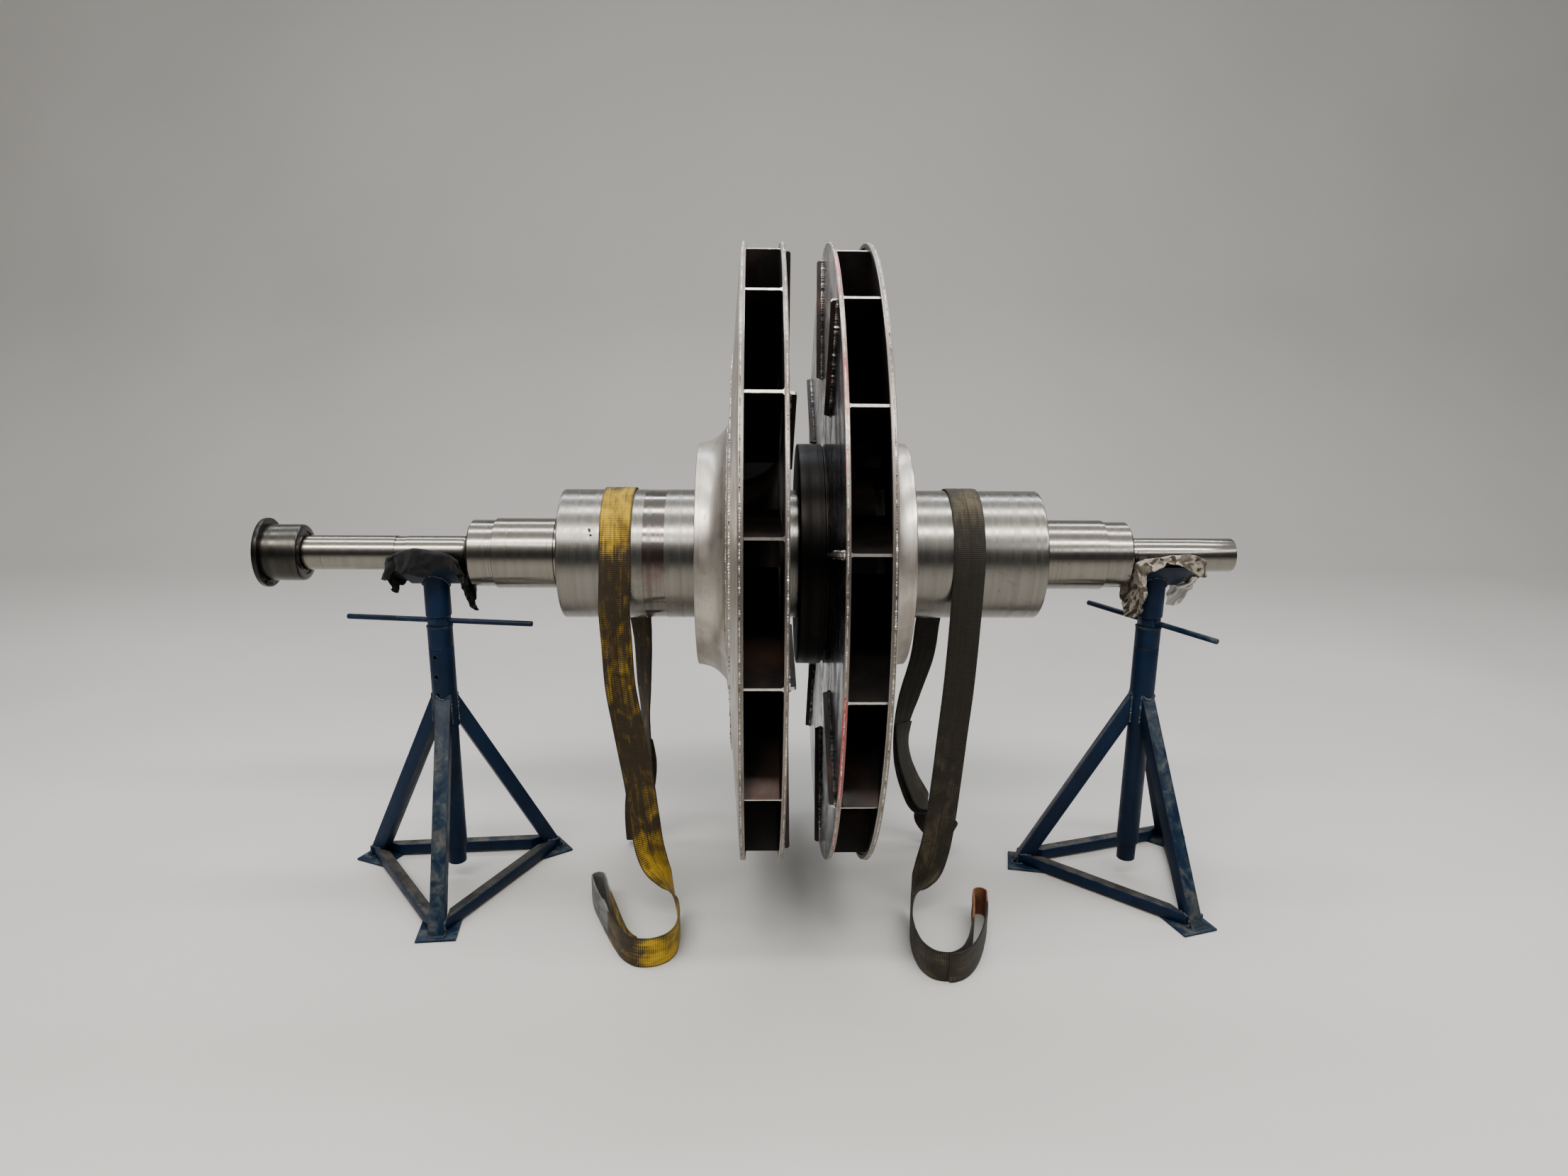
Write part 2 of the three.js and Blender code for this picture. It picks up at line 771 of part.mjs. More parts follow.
function makeStand(side) {
  const { x, firstLeg } = STANDS[side];
  const stand = new THREE.Group();
  stand.position.x = x;
  for (let k = 0; k < LEG_COUNT; k += 1) {
    const angle = firstLeg + (k * 360) / LEG_COUNT;
    const leg = named(`${side}_stand_leg_${k + 1}`, makeLeg(), COLOUR.navy, FINISH.paint);
    const foot = named(`${side}_foot_plate_${k + 1}`, makeFootPlate(), COLOUR.bare, FINISH.paint);
    leg.rotation.z = rad(angle);
    foot.rotation.z = rad(angle);
    const bar = makeBaseBar(angle, angle + 360 / LEG_COUNT);
    stand.add(leg, foot, named(`${side}_base_bar_${k + 1}`, bar, COLOUR.navy, FINISH.paint));
  }
  const cloth = side === 'left' ? COLOUR.rag : COLOUR.mottled;
  stand.add(named(`${side}_stand_post`, makePost(side), COLOUR.navy, FINISH.paint));
  stand.add(named(`${side}_stand_collar`, makeCollar(), COLOUR.navy, FINISH.paint));
  stand.add(named(`${side}_screw`, makeScrew(side), COLOUR.navy, FINISH.paint));
  stand.add(named(`${side}_tommy_bar`, makeTommyBar(side), COLOUR.navy, FINISH.paint));
  stand.add(named(`${side}_v_head`, makeHead(side), COLOUR.navy, FINISH.paint));
  stand.add(named(`${side}_rag`, makeRag(side), cloth, FINISH.cloth));
  return stand;
}

// Slings

// The webbing's width direction for a twist and a roll, on the side that ends up on top.
function widthDirection(edge, twist, roll) {
  const t = rad(twist);
  const r = rad(roll);
  return new THREE.Vector3(edge * Math.cos(t), -Math.sin(t) * Math.cos(r), Math.sin(t) * Math.sin(r));
}

// Fills in a smooth run of stations between the listed ones.
function smoothed(stations, edge) {
  const middles = stations.map(([x, y, z]) => new THREE.Vector3(x, y, z));
  const widths = stations.map((s) => (s.width ? s.width : widthDirection(edge, s[3], s[4])));
  const route = new THREE.CatmullRomCurve3(middles, false, 'centripetal');
  const turn = new THREE.CatmullRomCurve3(widths, false, 'catmullrom', 0.5);
  const count = (stations.length - 1) * WEB_STEPS;
  const result = [];
  for (let i = 0; i <= count; i += 1) {
    result.push({ middle: route.getPoint(i / count), width: turn.getPoint(i / count).normalize() });
  }
  return result;
}

// Gives every station a width direction square to the way the webbing runs, and its normal.
function framed(run) {
  return run.map(({ middle, width }, i) => {
    const before = run[Math.max(i - 1, 0)].middle;
    const after = run[Math.min(i + 1, run.length - 1)].middle;
    const along = after.clone().sub(before).normalize();
    const square = width.clone().addScaledVector(along, -width.dot(along)).normalize();
    return { middle, width: square, normal: along.clone().cross(square).normalize() };
  });
}

// A closed strap through a run of framed stations.
function strap(run) {
  const corners = [[1, 1], [1, -1], [-1, -1], [-1, 1]];
  const positions = [];
  for (const { middle, width, normal } of run) {
    for (const [across, out] of corners) {
      const point = middle.clone();
      point.addScaledVector(width, (across * WEB_WIDTH) / 2);
      point.addScaledVector(normal, (out * WEB_THICK) / 2);
      positions.push(point.x, point.y, point.z);
    }
  }
  const index = [];
  for (let i = 0; i < run.length - 1; i += 1) {
    for (let k = 0; k < 4; k += 1) {
      const a = i * 4 + k;
      const b = i * 4 + ((k + 1) % 4);
      index.push(a, b, b + 4, a, b + 4, a + 4);
    }
  }
  const last = (run.length - 1) * 4;
  index.push(0, 2, 1, 0, 3, 2);
  index.push(last, last + 1, last + 2, last, last + 2, last + 3);
  const geometry = new THREE.BufferGeometry();
  geometry.setAttribute('position', new THREE.Float32BufferAttribute(positions, 3));
  geometry.setIndex(index);
  return closed(geometry);
}

// The webbing folded back on itself: out along the eye, round its end, and back beside itself.
function withEye(run, eyeStart, fold) {
  const eye = run.slice(eyeStart);
  const tip = eye[eye.length - 1];
  const before = eye[eye.length - 2];
  const ahead = tip.middle.clone().sub(before.middle).normalize();
  const turnSteps = [];
  for (let i = 1; i < EYE_TURN_STEPS; i += 1) {
    const turn = (i / EYE_TURN_STEPS) * Math.PI;
    const radius = EYE_OPENING / 2;
    const middle = tip.middle.clone();
    middle.addScaledVector(tip.normal, fold * radius * (1 - Math.cos(turn)));
    middle.addScaledVector(ahead, radius * Math.sin(turn));
    const normal = tip.normal.clone().multiplyScalar(Math.cos(turn));
    normal.addScaledVector(ahead, -fold * Math.sin(turn));
    turnSteps.push({ middle, width: tip.width, normal });
  }
  const inner = eye.map(({ middle, width, normal }, i) => {
    const share = Math.sin((i / (eye.length - 1)) * (Math.PI / 2));
    const offset = EYE_MOUTH + (EYE_OPENING - EYE_MOUTH) * share;
    const moved = middle.clone().addScaledVector(normal, fold * offset);
    return { middle: moved, width, normal: normal.clone().negate() };
  }).reverse();
  return [...run, ...turnSteps, ...inner];
}

function makeSling(side) {
  const { edge, barrelX, front, floor, floorEye, back, backEye } = SLINGS[side];
  const wrap = [];
  for (let i = 0; i <= WRAP_STEPS; i += 1) {
    const angle = (i / WRAP_STEPS) * Math.PI;
    const station = [barrelX, -WRAP_R * Math.cos(angle), AXIS_Z + WRAP_R * Math.sin(angle)];
    wrap.push({
      middle: new THREE.Vector3(...station),
      width: new THREE.Vector3(edge, 0, 0),
    });
  }
  const start = [barrelX, -WRAP_R, AXIS_Z, 0, 0];
  const end = [barrelX, WRAP_R, AXIS_Z, 0, 0];
  const down = smoothed([start, ...front, floor[0]], edge);
  const up = down.slice(1).reverse();
  const behind = smoothed([end, ...back, ...backEye], edge);
  const hanging = framed([...up, ...wrap, ...behind.slice(1)]);
  const backEyeStart = hanging.length - 1 - (backEye.length - 1) * WEB_STEPS;
  const lying = framed(smoothed([...floor, ...floorEye], edge));
  const floorEyeStart = (floor.length) * WEB_STEPS;
  // Leaves a hair's breadth between the hanging stretch and the lying one.
  const joint = lying[0];
  const next = lying[1].middle.clone().sub(joint.middle).normalize();
  joint.middle = joint.middle.clone().addScaledVector(next, GAP);
  hanging[0] = { ...joint, middle: joint.middle.clone().addScaledVector(next, -GAP) };
  hanging[0].normal = joint.normal.clone().negate();
  const colour = side === 'left' ? COLOUR.yellow : COLOUR.olive;
  const sling = new THREE.Group();
  sling.add(named(`${side}_sling_hanging`, strap(withEye(hanging, backEyeStart, 1)), colour, FINISH.cloth));
  sling.add(named(`${side}_sling_on_floor`, strap(withEye(lying, floorEyeStart, 1)), colour, FINISH.cloth));
  return sling;
}

// The whole set, moved so that the middle of its length is over the origin
const assembly = new THREE.Group();
assembly.add(makeRotor());
for (const side of ['left', 'right']) {
  assembly.add(makeStand(side));
  assembly.add(makeSling(side));
}
assembly.updateMatrixWorld(true);
const reach = new THREE.Box3();
assembly.traverse((piece) => {
  if (piece.isMesh) {
    reach.expandByObject(piece, true);
  }
});
assembly.position.x = -(reach.min.x + reach.max.x) / 2;

const object = new THREE.Group();
object.add(assembly);

export default object;
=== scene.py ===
"""The finished look of a two-wheel centrifugal blower rotor that lies in the V-heads of two tripod
screw-jack stands, with two webbing slings hung over its shaft. Metres, +Z up, in the part's frame."""

import math

import bmesh
import bpy
import numpy as np
from mathutils import Matrix, Vector, noise


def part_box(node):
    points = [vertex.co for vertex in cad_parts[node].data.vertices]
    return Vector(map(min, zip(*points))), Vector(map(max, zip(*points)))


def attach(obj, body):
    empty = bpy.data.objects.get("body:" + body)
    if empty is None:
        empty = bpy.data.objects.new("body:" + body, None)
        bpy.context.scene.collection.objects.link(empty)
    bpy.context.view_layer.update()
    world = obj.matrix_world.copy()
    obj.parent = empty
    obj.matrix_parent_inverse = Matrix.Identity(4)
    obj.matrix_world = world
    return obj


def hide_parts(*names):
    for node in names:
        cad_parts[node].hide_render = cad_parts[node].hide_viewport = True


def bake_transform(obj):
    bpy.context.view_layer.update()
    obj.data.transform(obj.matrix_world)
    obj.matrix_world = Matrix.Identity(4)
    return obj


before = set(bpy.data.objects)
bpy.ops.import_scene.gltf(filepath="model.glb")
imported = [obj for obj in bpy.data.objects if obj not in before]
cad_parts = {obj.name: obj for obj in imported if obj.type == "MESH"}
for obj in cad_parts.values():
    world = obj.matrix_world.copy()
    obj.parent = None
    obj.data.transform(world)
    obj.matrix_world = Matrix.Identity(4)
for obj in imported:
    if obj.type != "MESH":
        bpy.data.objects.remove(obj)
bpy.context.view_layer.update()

# Where the rotor lies: its axis runs along X, and its wheels are mirror images about MIDDLE_X
MIDDLE_X = (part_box("left_shroud")[0].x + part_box("right_shroud")[1].x) / 2
AXIS_Z = (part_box("shaft")[0].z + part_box("shaft")[1].z) / 2
SIDES = {"left": -1, "right": 1}
TURN = 2 * math.pi

# Shaft, as distances from the middle between the wheels, and radii
BARREL_R = 0.165
BARREL_END = 0.606
RELIEF_R = 0.085
RELIEF_END = 0.625
SEAL_R = 0.090
SEAL_END = 0.779
BEARING_R = 0.0854
BEARING_END = {"left": 0.843, "right": 0.845}
END_R = 0.0438
SPIGOT_R = 0.0443
SPIGOT_END = 1.364
RIGHT_END = 1.127
HUB_R = 0.072
HUB_ENDS = (1.3572, 1.2675)
END_RING_R = 0.0884
END_RING_FACE = 1.3703
POLISHED_BAND = (-0.395, -0.342)

# Wheels, as distances from the middle plane and radii
RIM_R = 0.7695
PLATE_FACE = 0.0525
PLATE_BACK = 0.0625
RIM_INNER = 0.141
RIM_OUTER = 0.153
SHROUD_WALL = 0.008
CONE_END = (0.187, 0.333)
EYE_END = 0.262
EYE_R = 0.285
BORE_R = 0.262
BOSS_R = 0.188
BOSS_END = 0.178
BOSS_FOOT_R = 0.262
WHEEL_BORE_R = BARREL_R + 0.0004
RIM_LIP_R = 0.759
BLADES = 16
BLADE_WALL = 0.006
BLADE_ROOT_R = 0.340
BLADE_TIP_R = 0.757
BLADE_OFFSET = 0.150
BLADE_FIRST = {"left": 15.1, "right": 12.8}
RIBS = 8
RIB_WALL = 0.007
RIB_FACE = 0.0378
RIB_R = (0.448, 0.752)
RIB_FIRST = {"left": -7.4, "right": 12.8}
DRUM_R = 0.283
DRUM_X = (-0.014, 0.048, 0.0522)

# Stands
STAND_X = {"left": MIDDLE_X - 0.944, "right": MIDDLE_X + 0.929}
FIRST_LEG = {"left": -85.2, "right": -72.5}
LEGS = 3
LEG_WIDTH = 0.038
LEG_LINE = (0.5577, 0.020, 1.898)
LEG_THICK = 0.0818
LEG_FACES = (0.884, 0.466)
LEG_FOOT = (0.2675, 0.3105)
PLATE_TOP = 0.006
BAR_SIZE = 0.030
BAR_LINE_R = 0.289
SLEEVE_R = 0.0325
POST_BORE = 0.0265
SCREW_R = 0.025
THREAD_ENDS = (0.560, 0.7325)
THREAD_PITCH = 0.008
COLLAR_BOTTOM = 0.6753
COLLAR_TOP = 0.733
HEAD_BOTTOM = 0.7602
HEAD_R = 0.033
V_APEX = AXIS_Z - 0.053 * math.sqrt(2)
V_WALL = 0.008
V_SLOPE = 0.088
V_HALF = {"foot": 0.062, "inner": 0.067, "outer": 0.093}

# Slings
WEB_WIDTH = 0.077
WEB_THICK = 0.005
WRAP_R = BARREL_R + 0.001 + WEB_THICK / 2


def at(x, y, z):
    """A point given from the middle between the wheels."""
    return Vector((MIDDLE_X + x, y, z))


class Form:
    """Points and faces gathered for one piece, with the number of the finish on each face."""

    def __init__(self):
        self.points = []
        self.faces = []
        self.finish = []

    def add(self, points, faces, finish=0):
        start = len(self.points)
        self.points.extend(tuple(p) for p in points)
        self.faces.extend(tuple(start + i for i in face) for face in faces)
        self.finish.extend([finish] * len(faces))


def placed(name, data):
    """A new object, put in the scene."""
    made = bpy.data.objects.new(name, data)
    bpy.context.scene.collection.objects.link(made)
    return made


def face_outwards(mesh):
    """Turns the faces of a mesh so that they look out."""
    work = bmesh.new()
    work.from_mesh(mesh)
    bmesh.ops.recalc_face_normals(work, faces=work.faces)
    work.to_mesh(mesh)
    work.free()


def add_map(mesh, name, places):
    """A texture map with one place for each point of a mesh."""
    layer = mesh.uv_layers.new(name=name)
    for loop in mesh.loops:
        layer.data[loop.index].uv = places[loop.vertex_index]


def piece(name, form, finishes, body, slot, nodes=(), crease=32):
    """A mesh piece that rides on a body and stands for the CAD nodes it is named for."""
    mesh = bpy.data.meshes.new(name)
    mesh.from_pydata(form.points, [], form.faces)
    for finish in finishes:
        mesh.materials.append(finish)
    mesh.polygons.foreach_set("material_index", form.finish)
    face_outwards(mesh)
    mesh.shade_smooth()
    mesh.set_sharp_from_angle(angle=math.radians(crease))
    made = placed(name, mesh)
    if body:
        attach(made, body)
    if nodes:
        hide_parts(*nodes)
    return made


# Finishes: effects that several of them share are node groups, built once


class Tree:
    """Adds nodes to one shader tree and joins them up."""

    def __init__(self, tree):
        self.tree = tree

    def node(self, kind, inputs=None, **settings):
        made = self.tree.nodes.new("ShaderNode" + kind)
        for key, value in settings.items():
            setattr(made, key, value)
        for key, value in (inputs or {}).items():
            self.feed(made.inputs[key], value)
        return made

    def feed(self, socket, value):
        if isinstance(value, bpy.types.NodeSocket):
            self.tree.links.new(value, socket)
        elif hasattr(value, "__len__") and len(value) == 3 and len(socket.default_value) == 4:
            socket.default_value = (*value, 1)
        else:
            socket.default_value = value

    def math(self, operation, first, second=0.0, third=0.0, clamp=False):
        made = self.node("Math", operation=operation, use_clamp=clamp)
        for socket, value in zip(made.inputs, (first, second, third)):
            self.feed(socket, value)
        return made.outputs[0]

    def blend(self, factor, first, second, mode="MIX"):
        made = self.node("Mix", data_type="RGBA", blend_type=mode)
        self.feed(made.inputs[0], factor)
        self.feed(made.inputs[6], first)
        self.feed(made.inputs[7], second)
        return made.outputs[2]

    def spread(self, value, low, high, to_low=0.0, to_high=1.0):
        """The value moved from one range to another, and held inside it."""
        names = {"Value": value, "From Min": low, "From Max": high, "To Min": to_low, "To Max": to_high}
        return self.node("MapRange", names).outputs[0]

    def noise(self, vector, scale, detail=4.0, roughness=0.55, distortion=0.0):
        names = {"Vector": vector, "Scale": scale, "Detail": detail}
        names["Roughness"] = roughness
        names["Distortion"] = distortion
        return self.node("TexNoise", names).outputs[0]

    def stretched(self, vector, x, y, z):
        return self.node("Mapping", {"Vector": vector, "Scale": (x, y, z)}).outputs[0]


def shared_effect(name, inputs, outputs, build):
    """A node group with named sockets. build gets its Tree and inputs and returns its outputs."""
    made = bpy.data.node_groups.new(name, "ShaderNodeTree")
    kinds = {"value": "NodeSocketFloat", "colour": "NodeSocketColor"}
    for label, (kind, default) in inputs.items():
        socket = made.interface.new_socket(label, in_out="INPUT", socket_type=kinds[kind])
        socket.default_value = (*default, 1) if kind == "colour" else default
    for label, kind in outputs.items():
        made.interface.new_socket(label, in_out="OUTPUT", socket_type=kinds[kind])
    source = made.nodes.new("NodeGroupInput")
    target = made.nodes.new("NodeGroupOutput")
    results = build(Tree(made), source.outputs)
    for label, value in results.items():
        made.links.new(value, target.inputs[label])
    return made


def tool_marks(t, given):
    """Fine rings left by turning or grinding, about the rotor's axis: along X and outwards."""
    place = t.node("TexCoord").outputs["Object"]
    axes = t.node("SeparateXYZ", {"Vector": place}).outputs
    up = t.math("SUBTRACT", axes[2], AXIS_Z)
    out = t.math("SQRT", t.math("ADD", t.math("MULTIPLY", axes[1], axes[1]), t.math("MULTIPLY", up, up)))
    along = t.math("MULTIPLY", axes[0], given["Along"])
    ring = t.math("ADD", along, t.math("MULTIPLY", out, given["Outward"]))
    grain = {"W": ring, "Scale": 1.0, "Detail": 5.0, "Roughness": 0.75}
    fine = t.node("TexNoise", grain, noise_dimensions="1D")
    broad = t.node("TexNoise", {"W": ring, "Scale": 0.06, "Detail": 2.0}, noise_dimensions="1D")
    patchy = t.noise(place, 7.0, 5.0, 0.6, 0.3)
    streak = t.math("MULTIPLY", t.math("ADD", fine.outputs[0], broad.outputs[0]), 0.5)
    streak = t.math("MULTIPLY_ADD", t.math("SUBTRACT", patchy, 0.5), given["Patchy"], streak, clamp=True)
    return {"Streak": t.spread(streak, 0.28, 0.72), "Height": fine.outputs[0]}


def grime(t, given):
    """Film, stains and spots over a clean colour."""
    place = t.node("TexCoord").outputs["Object"]
    cloud = t.noise(place, given["Scale"], 6.0, 0.62, 0.4)
    spots = t.noise(place, t.math("MULTIPLY", given["Scale"], 9.0), 3.0, 0.7)
    film = t.spread(cloud, t.math("SUBTRACT", 0.78, given["Amount"]), 0.8)
    speck = t.spread(spots, 0.66, 0.72)
    mask = t.math("MAXIMUM", film, t.math("MULTIPLY", speck, given["Spots"]), clamp=True)
    return {"Color": t.blend(mask, given["Clean"], given["Dirt"]), "Mask": mask}


def edge_wear(t, given):
    """Where an edge is rubbed: the rounded normal leaves the face's own there."""
    rounded = t.node("Bevel", {"Radius": given["Reach"]}, samples=4).outputs[0]
    flat = t.node("NewGeometry").outputs["Normal"]
    along = t.node("VectorMath", {0: rounded, 1: flat}, operation="DOT_PRODUCT").outputs["Value"]
    edge = t.spread(t.math("SUBTRACT", 1.0, along), 0.004, 0.09)
    place = t.node("TexCoord").outputs["Object"]
    broken = t.spread(t.noise(place, 70.0, 5.0, 0.7), 0.62, 0.40)
    return {"Mask": t.math("MULTIPLY", edge, t.math("MULTIPLY", broken, given["Amount"]), clamp=True)}


def scratches(t, given):
    """Thin lines that cross each other."""
    place = t.node("TexCoord").outputs["Object"]
    lines = None
    for turn in ((0.2, 0.4, 0.9), (1.1, -0.5, 0.3)):
        turned_place = t.node("Mapping", {"Vector": place, "Rotation": turn, "Scale": (90, 90, 5)}).outputs[0]
        value = t.noise(turned_place, given["Scale"], 1.0)
        line = t.spread(t.math("ABSOLUTE", t.math("SUBTRACT", value, 0.5)), 0.012, 0.002)
        lines = line if lines is None else t.math("MAXIMUM", lines, line)
    where = t.spread(t.noise(place, 9.0, 2.0), t.math("SUBTRACT", 0.72, given["Amount"]), 0.75)
    return {"Mask": t.math("MULTIPLY", lines, where, clamp=True)}


def webbing(t, given):
    """Woven ribs across a strap, its seam and its edges, from the strap map: across, then along."""
    strap = t.node("SeparateXYZ", {"Vector": t.node("UVMap", uv_map="strap").outputs[0]}).outputs
    from_middle = t.math("ABSOLUTE", t.math("SUBTRACT", strap[0], WEB_WIDTH / 2))
    rib_wave = t.math("SINE", t.math("MULTIPLY", strap[1], TURN / 0.0050))
    rib = t.spread(rib_wave, -1.0, 0.4)
    yarn = t.math("SINE", t.math("MULTIPLY", strap[0], TURN / 0.0021))
    seam = t.spread(from_middle, 0.0022, 0.0008)
    stitch = t.spread(t.math("SINE", t.math("MULTIPLY", strap[1], TURN / 0.0072)), -0.2, 0.2)
    line = t.spread(t.math("ABSOLUTE", t.math("SUBTRACT", from_middle, 0.0215)), 0.0016, 0.0006)
    selvedge = t.spread(from_middle, 0.0335, 0.0365)
    groove = t.math("MAXIMUM", t.math("MULTIPLY", seam, 0.9), t.math("MULTIPLY", line, 0.45))
    height = t.math("MULTIPLY_ADD", yarn, 0.10, t.math("MULTIPLY", rib, 0.55))
    height = t.math("SUBTRACT", height, t.math("MULTIPLY", groove, 0.6))
    height = t.math("MULTIPLY_ADD", t.math("MULTIPLY", seam, stitch), 0.45, height)
    hollow = t.math("MAXIMUM", t.math("SUBTRACT", 1.0, rib), groove, clamp=True)
    fade = t.math("SUBTRACT", 1.0, t.math("MULTIPLY", selvedge, given["Flat Edge"]))
    return {"Height": t.math("MULTIPLY", height, fade), "Hollow": hollow, "Selvedge": selvedge}


def woven_cloth(t, given):
    """Threads of a plain cotton cloth."""
    place = t.node("UVMap", uv_map="cloth").outputs[0]
    axes = t.node("SeparateXYZ", {"Vector": place}).outputs
    warp = t.math("SINE", t.math("MULTIPLY", axes[0], given["Threads"]))
    weft = t.math("SINE", t.math("MULTIPLY", axes[1], given["Threads"]))
    fuzz = t.noise(place, 900.0, 3.0, 0.7)
    return {"Height": t.math("ADD", t.math("MULTIPLY", warp, weft), fuzz), "Fuzz": fuzz}


EFFECTS = {
    "tool_marks": shared_effect(
        "tool_marks",
        {"Along": ("value", 900.0), "Outward": ("value", 0.0), "Patchy": ("value", 0.6)},
        {"Streak": "value", "Height": "value"}, tool_marks),
    "grime": shared_effect(
        "grime",
        {"Clean": ("colour", (0.5, 0.5, 0.5)), "Dirt": ("colour", (0.05, 0.04, 0.03)),
         "Scale": ("value", 8.0), "Amount": ("value", 0.2), "Spots": ("value", 0.5)},
        {"Color": "colour", "Mask": "value"}, grime),
    "edge_wear": shared_effect(
        "edge_wear", {"Reach": ("value", 0.003), "Amount": ("value", 1.0)}, {"Mask": "value"}, edge_wear),
    "scratches": shared_effect(
        "scratches", {"Scale": ("value", 1.0), "Amount": ("value", 0.2)}, {"Mask": "value"}, scratches),
    "webbing": shared_effect(
        "webbing", {"Flat Edge": ("value", 0.7)},
        {"Height": "value", "Hollow": "value", "Selvedge": "value"}, webbing),
    "woven_cloth": shared_effect(
        "woven_cloth", {"Threads": ("value", 5200.0)}, {"Height": "value", "Fuzz": "value"}, woven_cloth),
}


class Finish(Tree):
    """A material with one Principled shader."""

    def __init__(self, name, **shader):
        self.material = bpy.data.materials.new(name)
        self.material.use_nodes = True
        super().__init__(self.material.node_tree)
        self.tree.nodes.clear()
        self.shader = self.node("BsdfPrincipled")
        output = self.node("OutputMaterial")
        self.tree.links.new(self.shader.outputs[0], output.inputs[0])
        for key, value in shader.items():
            self.set(key.replace("_", " "), value)

    def set(self, name, value):
        self.feed(self.shader.inputs[name], value)

    def effect(self, name, **inputs):
        made = self.node("Group", node_tree=EFFECTS[name])
        for key, value in inputs.items():
            self.feed(made.inputs[key.replace("_", " ")], value)
        return made.outputs

    def place(self):
        return self.node("TexCoord").outputs["Object"]

    def relief(self, height, strength, depth):
        bump = self.node("Bump", {"Height": height, "Strength": strength, "Distance": depth})
        self.set("Normal", bump.outputs[0])


def machined_steel(name, clean, worn, rough, marks, dirt, film, depth=0.00003, nicks=()):
    """Turned or ground steel: rings of tool marks, a thin film, a few stains and dark nicks."""
    f = Finish(name, Metallic=1.0)
    ring = f.effect("tool_marks", **marks)
    base = f.blend(ring["Streak"], worn, clean)
    stained = f.effect("grime", Clean=base, Dirt=dirt, Scale=6.0, Amount=film, Spots=0.5)
    scar = f.effect("scratches", Scale=1.0, Amount=0.16)["Mask"]
    colour = f.blend(f.math("MULTIPLY", scar, 0.35), stained["Color"], clean)
    for nick in nicks:
        away = f.node("VectorMath", {0: f.place(), 1: nick}, operation="DISTANCE").outputs["Value"]
        colour = f.blend(f.spread(away, 0.0042, 0.0026), colour, (0.008, 0.007, 0.006))
    f.set("Base Color", colour)
    gloss = f.spread(ring["Streak"], 0.25, 0.75, rough[1], rough[0])
    f.set("Roughness", f.math("MULTIPLY_ADD", stained["Mask"], 0.16, gloss, clamp=True))
    f.relief(ring["Height"], 0.5, depth)
    return f.material


def plate_scale(name, base, tint, rough, metal):
    """Hot-rolled plate with its dark scale left on, and brown and reddish stains."""
    f = Finish(name, Metallic=metal)
    cloud = f.noise(f.place(), 5.0, 5.0, 0.6, 0.6)
    colour = f.blend(f.spread(cloud, 0.48, 0.68), base, tint)
    dusty = f.effect("grime", Clean=colour, Dirt=(0.012, 0.011, 0.011), Scale=14.0, Amount=0.22, Spots=0.3)
    f.set("Base Color", dusty["Color"])
    f.set("Roughness", f.spread(f.noise(f.place(), 22.0, 5.0), 0.3, 0.7, rough[0], rough[1]))
    f.relief(f.noise(f.place(), 160.0, 5.0, 0.65), 0.25, 0.0004)
    return f.material


def dyed_rim():
    """A ground rim with the red left on it by a crack test."""
    f = Finish("dyed_rim")
    ring = f.effect("tool_marks", **RINGS)
    base = f.blend(ring["Streak"], (0.16, 0.135, 0.115), (0.34, 0.30, 0.26))
    stained = f.effect("grime", Clean=base, Dirt=(0.10, 0.065, 0.05), Scale=6.0, Amount=0.24, Spots=0.5)
    where = f.noise(f.place(), 4.5, 2.0, 0.5)
    speck = f.noise(f.place(), 120.0, 4.0, 0.7)
    red = f.spread(f.math("MULTIPLY_ADD", speck, 0.34, where), 0.72, 0.80)
    f.set("Base Color", f.blend(red, stained["Color"], (0.30, 0.045, 0.042)))
    f.set("Metallic", f.math("SUBTRACT", 1.0, f.math("MULTIPLY", red, 0.85)))
    f.set("Roughness", f.spread(speck, 0.3, 0.7, 0.26, 0.46))
    f.relief(ring["Height"], 0.5, 0.00005)
    return f.material


def weld_metal(name, bright, dark, metal=0.9):
    """Weld beads: bright where they were brushed, dark in their ripples and spatter."""
    f = Finish(name, Metallic=metal)
    grain = f.noise(f.place(), 260.0, 4.0, 0.7)
    cloud = f.noise(f.place(), 34.0, 3.0, 0.6)
    mixed = f.math("MULTIPLY_ADD", cloud, 0.6, f.math("MULTIPLY", grain, 0.5))
    f.set("Base Color", f.blend(f.spread(mixed, 0.46, 0.64), dark, bright))
    f.set("Roughness", f.spread(grain, 0.3, 0.7, 0.28, 0.6))
    f.relief(grain, 0.5, 0.0005)
    return f.material


